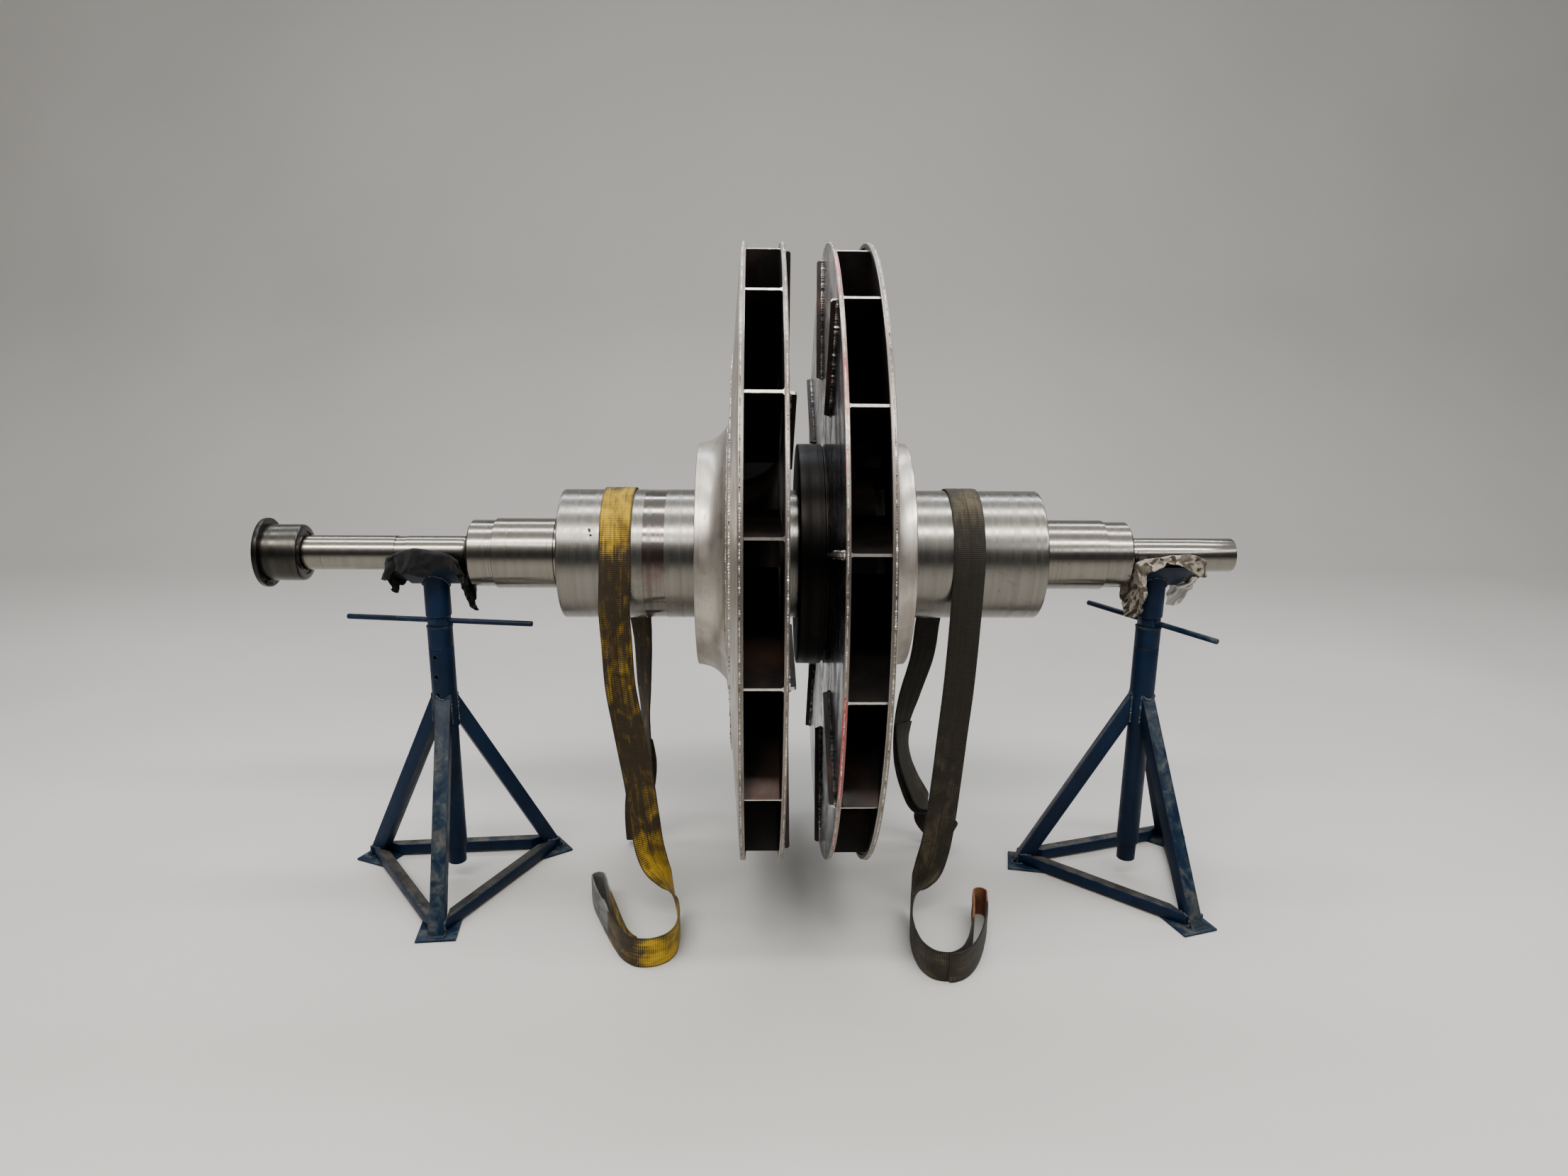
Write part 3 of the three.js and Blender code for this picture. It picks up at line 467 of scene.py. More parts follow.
def worn_paint(name, wear, worn_and_lit_top):
    """Dark blue enamel, rubbed thin on edges and on top, with brown bare steel beneath. The lighter upward
    faces are partly worn paint and dust, partly painted light from above.
    """
    f = Finish(name, Specular_IOR_Level=0.15)
    place = f.place()
    cloud = f.noise(place, 7.0, 6.0, 0.6, 0.3)
    patch = f.noise(place, 26.0, 6.0, 0.68, 0.5)
    paint = f.blend(f.spread(cloud, 0.35, 0.7), (0.0003, 0.0050, 0.0165), (0.0006, 0.0098, 0.0330))
    thin = f.blend(f.spread(patch, 0.4, 0.6), (0.006, 0.0135, 0.022), (0.015, 0.0270, 0.038))
    steel = f.blend(f.spread(patch, 0.35, 0.65), (0.026, 0.024, 0.021), (0.078, 0.071, 0.061))
    facing = f.node("SeparateXYZ", {"Vector": f.node("TexCoord").outputs["Normal"]}).outputs[2]
    # Upward faces lighter: partly worn paint and dust, partly painted light from above
    top = f.math("MULTIPLY", f.spread(facing, 0.75, 0.97), worn_and_lit_top)
    level = f.math("ADD", f.math("ADD", top, wear), f.math("MULTIPLY", f.math("SUBTRACT", patch, 0.5), 1.7))
    level = f.math("MULTIPLY_ADD", f.math("SUBTRACT", cloud, 0.5), 1.2, level)
    rubbed = f.spread(level, 0.30, 0.52)
    gone = f.spread(level, 0.52, 0.86)
    edge = f.effect("edge_wear", Reach=0.0035, Amount=1.0)["Mask"]
    scar = f.effect("scratches", Scale=1.4, Amount=0.12)["Mask"]
    colour = f.blend(rubbed, paint, thin)
    colour = f.blend(f.math("MAXIMUM", gone, f.math("MULTIPLY", edge, 0.75)), colour, steel)
    colour = f.blend(f.math("MULTIPLY", scar, 0.25), colour, (0.06, 0.07, 0.08))
    dusty = f.effect("grime", Clean=colour, Dirt=(0.012, 0.012, 0.012), Scale=11.0, Amount=0.08, Spots=0.12)
    f.set("Base Color", dusty["Color"])
    f.set("Metallic", f.math("MULTIPLY", gone, 0.55))
    f.set("Roughness", f.spread(patch, 0.3, 0.7, 0.38, 0.56))
    height = f.math("SUBTRACT", f.noise(place, 120.0, 4.0, 0.6), f.math("MULTIPLY", gone, 0.8))
    f.relief(height, 0.35, 0.0004)
    return f.material


def strap_finish(name, clean, dirty, edge, sleeve):
    """Polyester webbing: dirt and painted shade in its grooves, stains along it, cleaner where the map says,
    with a painted highlight folded into that where it lies over the top of the barrel.
    """
    f = Finish(name, Specular_IOR_Level=0.2, Sheen_Weight=0.04, Sheen_Roughness=0.5)
    weave = f.effect("webbing", Flat_Edge=0.7)
    strap = f.node("UVMap", uv_map="strap").outputs[0]
    lit_clean_level = f.node("Attribute", attribute_name="clean").outputs["Fac"]
    streak = f.noise(f.stretched(strap, 150, 7, 1), 1.0, 6.0, 0.62)
    cloud = f.noise(f.stretched(strap, 26, 16, 1), 1.0, 5.0, 0.6, 0.6)
    level = f.math("ADD", f.math("MULTIPLY", streak, 0.55), f.math("MULTIPLY", cloud, 0.75))
    level = f.math("ADD", level, f.math("MULTIPLY", f.math("SUBTRACT", lit_clean_level, 0.5), 0.62))
    # Hollows of the weave darker: partly dirt, partly painted shade
    level = f.math("SUBTRACT", level, f.math("MULTIPLY", weave["Hollow"], 0.16))
    bright = f.spread(level, 0.52, 0.86)
    colour = f.blend(bright, dirty, clean)
    colour = f.blend(f.math("MULTIPLY", weave["Selvedge"], 0.75), colour, edge)
    fleck = f.spread(f.noise(f.stretched(strap, 700, 420, 1), 1.0, 2.0, 0.7), 0.62, 0.7)
    colour = f.blend(f.math("MULTIPLY", fleck, 0.35), colour, dirty)
    patched = f.node("Attribute", attribute_name="sleeve").outputs["Fac"]
    rubbed = f.blend(f.spread(cloud, 0.35, 0.65), tuple(c * 0.35 for c in sleeve), sleeve)
    colour = f.blend(f.math("MULTIPLY", patched, f.spread(level, 0.1, 0.5, 0.6, 0.96)), colour, rubbed)
    f.set("Base Color", colour)
    f.set("Roughness", f.spread(streak, 0.3, 0.7, 0.62, 0.88))
    f.relief(weave["Height"], 0.9, 0.0011)
    return f.material


def cloth_finish(name, first, second, third, soil, blotches, shine=0.2):
    """Cotton cloth with blotches of three colours and a plain weave."""
    f = Finish(name, Specular_IOR_Level=shine, Sheen_Weight=0.06, Sheen_Roughness=0.5)
    weave = f.effect("woven_cloth", Threads=5200.0)
    place = f.node("UVMap", uv_map="cloth").outputs[0]
    one = f.noise(place, blotches, 2.0, 0.5, 0.8)
    two = f.noise(f.stretched(place, 1.3, 0.9, 1), blotches * 1.4, 2.0, 0.5, 0.8)
    colour = f.blend(f.spread(one, 0.47, 0.52), first, second)
    colour = f.blend(f.spread(two, 0.56, 0.60), colour, third)
    worn = f.noise(f.place(), 60.0, 4.0, 0.6)
    colour = f.blend(f.spread(worn, 0.45, 0.75, 0.0, 0.35), colour, soil)
    f.set("Base Color", colour)
    f.set("Roughness", f.spread(weave["Fuzz"], 0.3, 0.7, 0.8, 0.95))
    f.relief(weave["Height"], 0.3, 0.0003)
    return f.material


def floor_finish():
    """Pale, almost even floor."""
    f = Finish("studio_floor")
    cloud = f.noise(f.place(), 0.8, 3.0, 0.5)
    f.set("Base Color", f.blend(f.spread(cloud, 0.3, 0.7), (0.39, 0.38, 0.36), (0.42, 0.41, 0.39)))
    f.set("Roughness", f.spread(cloud, 0.3, 0.7, 0.55, 0.65))
    return f.material


RINGS = {"Along": 900.0, "Outward": 0.0, "Patchy": 0.25}
SPUN = {"Along": 300.0, "Outward": 300.0, "Patchy": 1.3}
BARREL_NICKS = ((-0.4303, -0.1376, 1.0170), (-0.4290, -0.1400, 1.0135), (-0.4263, -0.1451, 1.0045))
FINISHES = {
    "journal": machined_steel(
        "journal_steel", (0.215, 0.201, 0.176), (0.165, 0.152, 0.130), (0.17, 0.23), RINGS,
        (0.07, 0.052, 0.036), 0.12, 0.000016),
    "barrel": machined_steel(
        "barrel_steel", (0.210, 0.200, 0.180), (0.155, 0.146, 0.129), (0.22, 0.29), RINGS,
        (0.08, 0.066, 0.05), 0.18, 0.000022, BARREL_NICKS),
    "polished": machined_steel(
        "polished_band", (0.26, 0.245, 0.22), (0.092, 0.076, 0.067), (0.08, 0.20), RINGS,
        (0.09, 0.032, 0.026), 0.20, 0.00002),
    "shroud": machined_steel(
        "shroud_steel", (0.50, 0.46, 0.405), (0.30, 0.27, 0.235), (0.28, 0.46), SPUN,
        (0.13, 0.10, 0.075), 0.18, 0.0001),
    "rim": machined_steel(
        "ground_rim", (0.25, 0.226, 0.198), (0.115, 0.100, 0.086), (0.30, 0.48), RINGS,
        (0.08, 0.05, 0.04), 0.26, 0.0001),
    # Edge finish: lighter than the faces beside it, a painted highlight on rim corners, blade tips and rib
    # edges
    "edge": machined_steel(
        "edge_painted_highlight", (0.62, 0.59, 0.545), (0.38, 0.35, 0.32), (0.24, 0.40), RINGS,
        (0.20, 0.14, 0.11), 0.12),
    "plate": machined_steel(
        "back_plate_steel", (0.058, 0.064, 0.108), (0.032, 0.033, 0.050), (0.14, 0.28), SPUN,
        (0.03, 0.024, 0.02), 0.18, 0.00002),
    "drum": machined_steel(
        "drum_steel", (0.018, 0.016, 0.0145), (0.008, 0.0075, 0.007), (0.36, 0.50), RINGS,
        (0.020, 0.012, 0.008), 0.16),
    "hub": machined_steel(
        "hub_steel", (0.056, 0.053, 0.047), (0.028, 0.026, 0.022), (0.25, 0.36), RINGS,
        (0.018, 0.015, 0.012), 0.12),
    "end_ring": machined_steel(
        "end_ring_steel", (0.034, 0.033, 0.030), (0.012, 0.011, 0.010), (0.28, 0.42), RINGS,
        (0.02, 0.018, 0.016), 0.16),
    "dyed": dyed_rim(),
    "scale": plate_scale("plate_scale", (0.020, 0.017, 0.016), (0.065, 0.036, 0.028), (0.34, 0.52), 0.75),
    "weld": weld_metal("weld_metal", (0.68, 0.65, 0.61), (0.10, 0.075, 0.062)),
    "dark_weld": weld_metal("dark_weld_metal", (0.66, 0.62, 0.57), (0.030, 0.025, 0.022)),
    "paint": worn_paint("navy_paint", 0.0, 0.28),
    "rubbed": worn_paint("rubbed_paint", 0.52, 0.3),
    "thin_paint": worn_paint("thin_paint", 0.30, 0.5),
    "paint_weld": weld_metal("painted_weld", (0.034, 0.048, 0.064), (0.004, 0.010, 0.020), 0.3),
    "foot": worn_paint("foot_plate_paint", 0.34, 0.15),
    "yellow": strap_finish(
        "yellow_webbing", (0.42, 0.262, 0.008), (0.020, 0.0130, 0.0055), (0.012, 0.009, 0.006),
        (0.15, 0.15, 0.145)),
    "olive": strap_finish(
        "olive_webbing", (0.085, 0.068, 0.038), (0.0120, 0.0098, 0.0062), (0.009, 0.0075, 0.006),
        (0.20, 0.075, 0.030)),
    "black_cloth": cloth_finish(
        "black_cloth", (0.0026, 0.0026, 0.0031), (0.0038, 0.0038, 0.0045), (0.0060, 0.0060, 0.0070),
        (0.0080, 0.0076, 0.0070), 14.0),
    "mottled_cloth": cloth_finish(
        "mottled_cloth", (0.060, 0.048, 0.036), (0.235, 0.205, 0.165), (0.020, 0.018, 0.015),
        (0.02, 0.018, 0.017), 26.0),
    "white_cloth": cloth_finish(
        "white_cloth", (0.86, 0.84, 0.80), (0.80, 0.78, 0.74), (0.70, 0.68, 0.64), (0.34, 0.31, 0.28), 9.0),
}


# Shapes


def turned(form, profile, sides, finish=0, centre=None, loop=False):
    """Turns a profile of (along, radius) or (along, radius, finish) about X through the rotor's axis,
    or about Z through a centre (x, y). A closed profile is a ring."""
    points = []
    rings = []
    for entry in profile:
        along, radius = entry[0], entry[1]
        count = sides if radius > 1e-9 else 1
        rings.append([len(points) + k for k in range(count)])
        for k in range(count):
            a = TURN * k / sides
            across, high = radius * math.cos(a), radius * math.sin(a)
            if centre is None:
                points.append((MIDDLE_X + along, across, AXIS_Z + high))
            else:
                points.append((centre[0] + across, centre[1] + high, along))
    start = len(form.points)
    form.points.extend(points)
    for i in range(len(profile) if loop else len(profile) - 1):
        first, second = rings[i], rings[(i + 1) % len(profile)]
        here = profile[i][2] if len(profile[i]) > 2 else finish
        for k in range(sides):
            n = (k + 1) % sides
            corners = (first[k % len(first)], first[n % len(first)],
                       second[n % len(second)], second[k % len(second)])
            face = dict.fromkeys(corners)
            if len(face) >= 3:
                form.faces.append(tuple(start + v for v in face))
                form.finish.append(here)


def stretch(start, end, radius, finish=0, grooves=()):
    """A straight stretch of a turned profile, with grooves of (place, width, depth) cut in it."""
    profile = [(start, radius, finish)]
    for place, width, depth in grooves:
        profile.append((place - 0.5 * width - 0.0003, radius, finish))
        for share, cut in ((-0.5, 0), (-0.3, depth), (0.3, depth), (0.5, 0)):
            profile.append((place + share * width, radius - cut, finish))
        profile.append((place + 0.5 * width + 0.0003, radius, finish))
    return [*profile, (end, radius, finish)]


def resampled(path, step, loop):
    """Points about a step apart along a path of straight stretches, and how far along each is."""
    line = np.array([tuple(p) for p in path], float)
    if loop:
        line = np.vstack([line, line[:1]])
    run = np.concatenate([[0], np.cumsum(np.linalg.norm(np.diff(line, axis=0), axis=1))])
    count = max(2, round(run[-1] / step))
    places = np.linspace(0, run[-1], count + 1)[: count if loop else None]
    return np.stack([np.interp(places, run, line[:, k]) for k in range(3)], axis=1), places


def tube_faces(rings, sides, loop=False):
    """The faces of a tube whose points are numbered ring by ring."""
    faces = []
    for i in range(rings if loop else rings - 1):
        n = (i + 1) % rings
        for k in range(sides):
            m = (k + 1) % sides
            faces.append((i * sides + k, i * sides + m, n * sides + m, n * sides + k))
    return faces


def bead(form, path, radius, finish=0, loop=False, lumps=0.35, sides=6, pitch=0.004):
    """Weld metal along a path: a tube that swells with each ripple and wanders a little."""
    line, places = resampled(path, pitch / 2.2, loop)
    count = len(line)
    before = np.roll(line, 1, axis=0)
    after = np.roll(line, -1, axis=0)
    if not loop:
        before[0], after[-1] = line[0], line[-1]
    points = []
    for i in range(count):
        ahead = Vector(after[i] - before[i]).normalized()
        level = Vector((1, 0, 0)) if abs(ahead.x) < 0.9 else Vector((0, 0, 1))
        side = ahead.cross(level).normalized()
        up = side.cross(ahead)
        wobble = noise.noise(Vector(line[i]) * 90)
        swell = 0.5 * math.sin(TURN * places[i] / pitch) + 1.4 * noise.noise(Vector(line[i]) * 210)
        r = radius * max(0.35, 1 + lumps * swell)
        if not loop and i in (0, count - 1):
            r *= 0.3
        middle = Vector(line[i]) + side * (wobble * radius * 0.5)
        for k in range(sides):
            a = TURN * k / sides
            points.append(middle + side * (r * math.cos(a)) + up * (r * math.sin(a)))
    faces = tube_faces(count, sides, loop)
    if not loop:
        faces.append(tuple(range(sides)))
        faces.append(tuple(range((count - 1) * sides, count * sides)))
    form.add(points, faces, finish)


def ring_path(along, radius, steps=160):
    """A circle about the rotor's axis."""
    angles = [TURN * k / steps for k in range(steps)]
    return [at(along, radius * math.cos(a), AXIS_Z + radius * math.sin(a)) for a in angles]


def slab(form, corners, finishes=(0, 0, 0)):
    """A solid between two outlines with the same number of corners: (first side, rim, second side)."""
    first, second = corners
    count = len(first)
    form.add([*first, *second], [], 0)
    start = len(form.points) - 2 * count
    form.faces.append(tuple(start + k for k in range(count)))
    form.finish.append(finishes[0])
    for k in range(count):
        n = (k + 1) % count
        form.faces.append((start + k, start + n, start + count + n, start + count + k))
        form.finish.append(finishes[1])
    form.faces.append(tuple(start + count + k for k in reversed(range(count))))
    form.finish.append(finishes[2])


def round_edges(made, width, segments=2, over=25):
    """Rounds a piece's sharp edges."""
    work = bmesh.new()
    work.from_mesh(made.data)
    limit = math.radians(over)
    sharp = [e for e in work.edges if len(e.link_faces) == 2 and e.calc_face_angle() > limit]
    bmesh.ops.bevel(
        work, geom=sharp, offset=width, segments=segments, profile=0.5, affect="EDGES", clamp_overlap=True)
    work.to_mesh(made.data)
    work.free()
    made.data.shade_smooth()
    made.data.set_sharp_from_angle(angle=math.radians(40))
    return made


def from_solid(node, name, finishes, body, slot, width, choose=None):
    """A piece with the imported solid's own shape, its flat faces joined up and its edges rounded."""
    work = bmesh.new()
    work.from_mesh(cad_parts[node].data)
    bmesh.ops.remove_doubles(work, verts=work.verts, dist=1e-5)
    bmesh.ops.dissolve_limit(work, angle_limit=math.radians(1), verts=work.verts, edges=work.edges)
    form = Form()
    form.points = [tuple(v.co) for v in work.verts]
    form.faces = [tuple(v.index for v in face.verts) for face in work.faces]
    form.finish = [choose(face.normal) if choose else 0 for face in work.faces]
    work.free()
    made = piece(name, form, finishes, body, slot, [node])
    return round_edges(made, width)


# Rotor


def make_shaft():
    ground, rough, mirror = 0, 1, 2
    left = BEARING_END["left"]
    right = BEARING_END["right"]
    # Grooves and scores, each as its place, width and depth
    left_bearing = [(-0.806, 0.0016, 0.00018), (-0.799, 0.0012, 0.00015), (-0.795, 0.0014, 0.0002),
                    (-0.786, 0.002, 0.0003)]
    left_seal = [(-0.742, 0.0012, 0.00015), (-0.640, 0.0012, 0.00015)]
    right_seal = [(0.648, 0.0014, 0.0002), (0.766, 0.0012, 0.00015)]
    right_bearing = [(0.790, 0.0012, 0.00015), (0.836, 0.0012, 0.00015)]
    right_end = [(0.866, 0.005, 0.0004), (1.010, 0.0012, 0.00015)]
    profile = [
        (-SPIGOT_END + 0.016, 0, ground),
        (-SPIGOT_END + 0.010, 0.004, ground),
        (-SPIGOT_END, 0.013, ground),
        (-SPIGOT_END, SPIGOT_R - 0.002, ground),
        (-SPIGOT_END + 0.002, SPIGOT_R, ground),
        *stretch(-1.30, -1.034, SPIGOT_R, ground, [(-1.217, 0.0016, 0.0005)]),
        (-1.0338, 0.0418, ground),
        (-1.0322, 0.0418, ground),
        (-1.0320, 0.0426, ground),
        (-1.0096, 0.0426, ground),
        (-1.0094, 0.0423, ground),
        (-1.0082, 0.0423, ground),
        *stretch(-1.0075, -0.863, END_R, ground, [(-0.874, 0.003, 0.0002)]),
        (-0.857, 0.0447, ground),
        (-0.851, 0.0482, ground),
        (-0.846, 0.0535, ground),
        (-left, 0.060, ground),
        (-left, BEARING_R - 0.004, ground),
        (-left + 0.004, BEARING_R, ground),
        *stretch(-0.838, -0.7802, BEARING_R, ground, left_bearing),
        (-0.7800, BEARING_R - 0.0012, ground),
        (-SEAL_END, BEARING_R - 0.0012, ground),
        (-SEAL_END, SEAL_R - 0.001, ground),
        (-SEAL_END + 0.001, SEAL_R, ground),
        *stretch(-0.777, -RELIEF_END - 0.001, SEAL_R, ground, left_seal),
        (-RELIEF_END, SEAL_R - 0.001, ground),
        (-RELIEF_END, RELIEF_R, ground),
        (-BARREL_END, RELIEF_R, rough),
        (-BARREL_END, BARREL_R - 0.004, rough),
        (-BARREL_END + 0.0015, BARREL_R - 0.0013, rough),
        (-BARREL_END + 0.004, BARREL_R, rough),
        *stretch(-0.600, POLISHED_BAND[0], BARREL_R, rough, [(-0.5, 0.0012, 0.0003)]),
        (POLISHED_BAND[0] + 0.0004, BARREL_R - 0.0005, mirror),
        (POLISHED_BAND[1] - 0.0004, BARREL_R - 0.0005, mirror),
        *stretch(POLISHED_BAND[1], 0.598, BARREL_R, rough, [(-0.30, 0.001, 0.0003), (0.275, 0.001, 0.0003)]),
        (BARREL_END - 0.004, BARREL_R, rough),
        (BARREL_END - 0.0015, BARREL_R - 0.0013, rough),
        (BARREL_END, BARREL_R - 0.004, rough),
        (BARREL_END, RELIEF_R, ground),
        (RELIEF_END, RELIEF_R, ground),
        (RELIEF_END, SEAL_R - 0.001, ground),
        (RELIEF_END + 0.001, SEAL_R, ground),
        *stretch(0.627, SEAL_END - 0.001, SEAL_R, ground, right_seal),
        (SEAL_END, SEAL_R - 0.001, ground),
        (SEAL_END, BEARING_R, ground),
        *stretch(0.780, right - 0.004, BEARING_R, ground, right_bearing),
        (right, BEARING_R - 0.004, ground),
        (right, 0.050, ground),
        (right + 0.003, 0.0455, ground),
        *stretch(right + 0.007, RIGHT_END - 0.004, END_R, ground, right_end),
        (RIGHT_END - 0.0012, END_R - 0.0012, ground),
        (RIGHT_END, END_R - 0.004, ground),
        (RIGHT_END, 0.012, ground),
        (RIGHT_END - 0.010, 0.004, ground),
        (RIGHT_END - 0.015, 0, ground),
    ]
    form = Form()
    turned(form, profile, 192)
    finishes = [FINISHES["journal"], FINISHES["barrel"], FINISHES["polished"]]
    return piece("shaft_turned", form, finishes, "rotor", "ground_steel", ["shaft"])


def make_coupling():
    bore = SPIGOT_R + 0.0003
    hub = Form()
    turned(hub, [
        (-HUB_ENDS[0], bore),
        (-HUB_ENDS[0], HUB_R),
        (-HUB_ENDS[1] - 0.009, HUB_R),
        (-HUB_ENDS[1] - 0.0045, HUB_R - 0.0008),
        (-HUB_ENDS[1] - 0.0015, HUB_R - 0.0030),
        (-HUB_ENDS[1], HUB_R - 0.0065),
        (-HUB_ENDS[1], bore + 0.011),
        (-HUB_ENDS[1] - 0.0035, bore + 0.010),
        (-HUB_ENDS[1] - 0.0035, bore + 0.003),
        (-HUB_ENDS[1] - 0.001, bore),
    ], 128, loop=True)
    piece("coupling_hub_turned", hub, [FINISHES["hub"]], "rotor", "dark_steel", ["coupling_hub"])
    ring = Form()
    back = HUB_ENDS[0] + 0.0003
    turned(ring, [
        (-END_RING_FACE, bore),
        (-END_RING_FACE, END_RING_R - 0.0025, 1),
        (-END_RING_FACE + 0.0006, END_RING_R - 0.0009, 1),
        (-END_RING_FACE + 0.0022, END_RING_R, 0),
        (-back - 0.0015, END_RING_R, 0),
        (-back, END_RING_R - 0.0015, 0),
        (-back, bore, 0),
    ], 128, loop=True)
    finishes = [FINISHES["end_ring"], FINISHES["hub"]]
    piece("coupling_ring_turned", ring, finishes, "rotor", "dark_steel", ["coupling_end_ring"])
    screws = Form()
    screw_circle_r = 0.0804
    head = ((0.0, 0.0050), (0.0042, 0.0050), (0.0050, 0.0042), (0.0050, 0.0024), (0.0022, 0.0022))
    sides = 12
    for k in range(-1, 2):
        a = -TURN / 4 - 0.45 + 0.13 * k
        y, z = screw_circle_r * math.cos(a), AXIS_Z + screw_circle_r * math.sin(a)
        rings = []
        for along, r in head:
            rings.append([at(-back + along, y + r * math.cos(t), z + r * math.sin(t))
                          for t in (TURN * j / sides for j in range(sides))])
        for first, second in zip(rings, rings[1:]):
            screws.add([*first, *second], tube_faces(2, sides))
        screws.add(rings[-1], [tuple(range(sides))])
        screws.add(rings[0], [tuple(range(sides))])
    piece("coupling_ring_screws", screws, [FINISHES["end_ring"]], "rotor", "dark_steel")


def make_drum():
    form = Form()
    turned(form, [
        (DRUM_X[0], WHEEL_BORE_R),
        (DRUM_X[0], DRUM_R - 0.003),
        (DRUM_X[0] + 0.001, DRUM_R - 0.001),
        (DRUM_X[0] + 0.003, DRUM_R),
        *stretch(-0.008, DRUM_X[1] - 0.002, DRUM_R, 0, [(0.034, 0.0014, 0.0006)]),
        (DRUM_X[1], DRUM_R - 0.002),
        (DRUM_X[1], DRUM_R - 0.007),
        (DRUM_X[2], DRUM_R - 0.007),
        (DRUM_X[2], WHEEL_BORE_R),
    ], 192, loop=True)
    return piece("hub_drum_turned", form, [FINISHES["drum"]], "rotor", "dark_steel", ["hub_drum"])


def shroud_inner(radius):
    """How far the shroud's inner face is from the middle plane, at a radius."""
    share = (0.770 - radius) / (0.770 - CONE_END[1])
    return RIM_OUTER - SHROUD_WALL + share * (CONE_END[0] - RIM_OUTER)


def cone_outer(radius):
    return shroud_inner(radius) + SHROUD_WALL


def make_shroud(side):
    s = SIDES[side]
    # bright marks the rim's corner faces, which take the edge finish: a painted highlight
    outside, rim, inside, bright = 0, 1, 2, 3
    flare = [(0.187, 0.333), (0.1955, 0.3200), (0.2035, 0.3105), (0.2125, 0.3020), (0.2225, 0.2953),
             (0.2330, 0.2905), (0.2440, 0.2872)]
    inner_flare = [(0.2350, 0.2620), (0.2255, 0.2665), (0.2150, 0.2760), (0.2040, 0.2900), (0.1935, 0.3090)]
    seam = 0.1484
    profile = [
        (RIM_INNER, RIM_R - 0.0014, bright),
        (RIM_INNER + 0.0012, RIM_R, rim),
        (seam - 0.0012, RIM_R, rim),
        (seam - 0.0005, RIM_R - 0.0009, rim),
        (seam + 0.0005, RIM_R - 0.0009, rim),
        (seam + 0.0012, RIM_R, rim),
        (RIM_OUTER - 0.0010, RIM_R, bright),
        (RIM_OUTER, RIM_R - 0.0012, outside),
        (cone_outer(0.66), 0.66, outside),
        (cone_outer(0.50), 0.50, outside),
        (cone_outer(0.40), 0.40, outside),
        *[(x, r, outside) for x, r in flare],
        (0.2510, 0.2860, outside),
        (0.2516, 0.2852, outside),
        (0.2526, 0.2852, outside),
        (0.2532, EYE_R, outside),
        (EYE_END - 0.0015, EYE_R, outside),
        (EYE_END, EYE_R - 0.0015, outside),
        (EYE_END, BORE_R + 0.0015, outside),
        (EYE_END - 0.0015, BORE_R, inside),
        *[(x, r, inside) for x, r in inner_flare],
        (shroud_inner(CONE_END[1]), CONE_END[1], inside),
        (shroud_inner(RIM_LIP_R), RIM_LIP_R, inside),
        (RIM_INNER, RIM_LIP_R, rim),
    ]
    form = Form()
    turned(form, [(s * x, r, f) for x, r, f in profile], 256, loop=True)
    finishes = [FINISHES["shroud"], FINISHES["rim"], FINISHES["scale"], FINISHES["edge"]]
    piece(f"{side}_shroud_plate", form, finishes, "rotor", "shroud_steel", [f"{side}_shroud"])
    beads = Form()
    for along, radius, steps, thick, lumps, pitch in (
            (seam, RIM_R - 0.0012, 300, 0.0016, 0.7, 0.006),
            (cone_outer(0.50) - 0.0006, 0.50, 240, 0.0030, 0.7, 0.007),
            (cone_outer(0.352) - 0.0006, 0.352, 200, 0.0015, 0.8, 0.006)):
        bead(beads, ring_path(s * along, radius, steps), thick, loop=True, lumps=lumps, pitch=pitch)
    piece(f"{side}_shroud_welds", beads, [FINISHES["weld"]], "rotor", "shroud_steel")


def spoke(side, degrees, along, across, depth):
    """A point of a wheel: along a line at an angle up from the front, beside that line, and
    from the middle plane."""
    t = math.radians(degrees)
    y = -along * math.cos(t) + across * math.sin(t)
    z = along * math.sin(t) + across * math.cos(t)
    return at(SIDES[side] * depth, y, AXIS_Z + z)


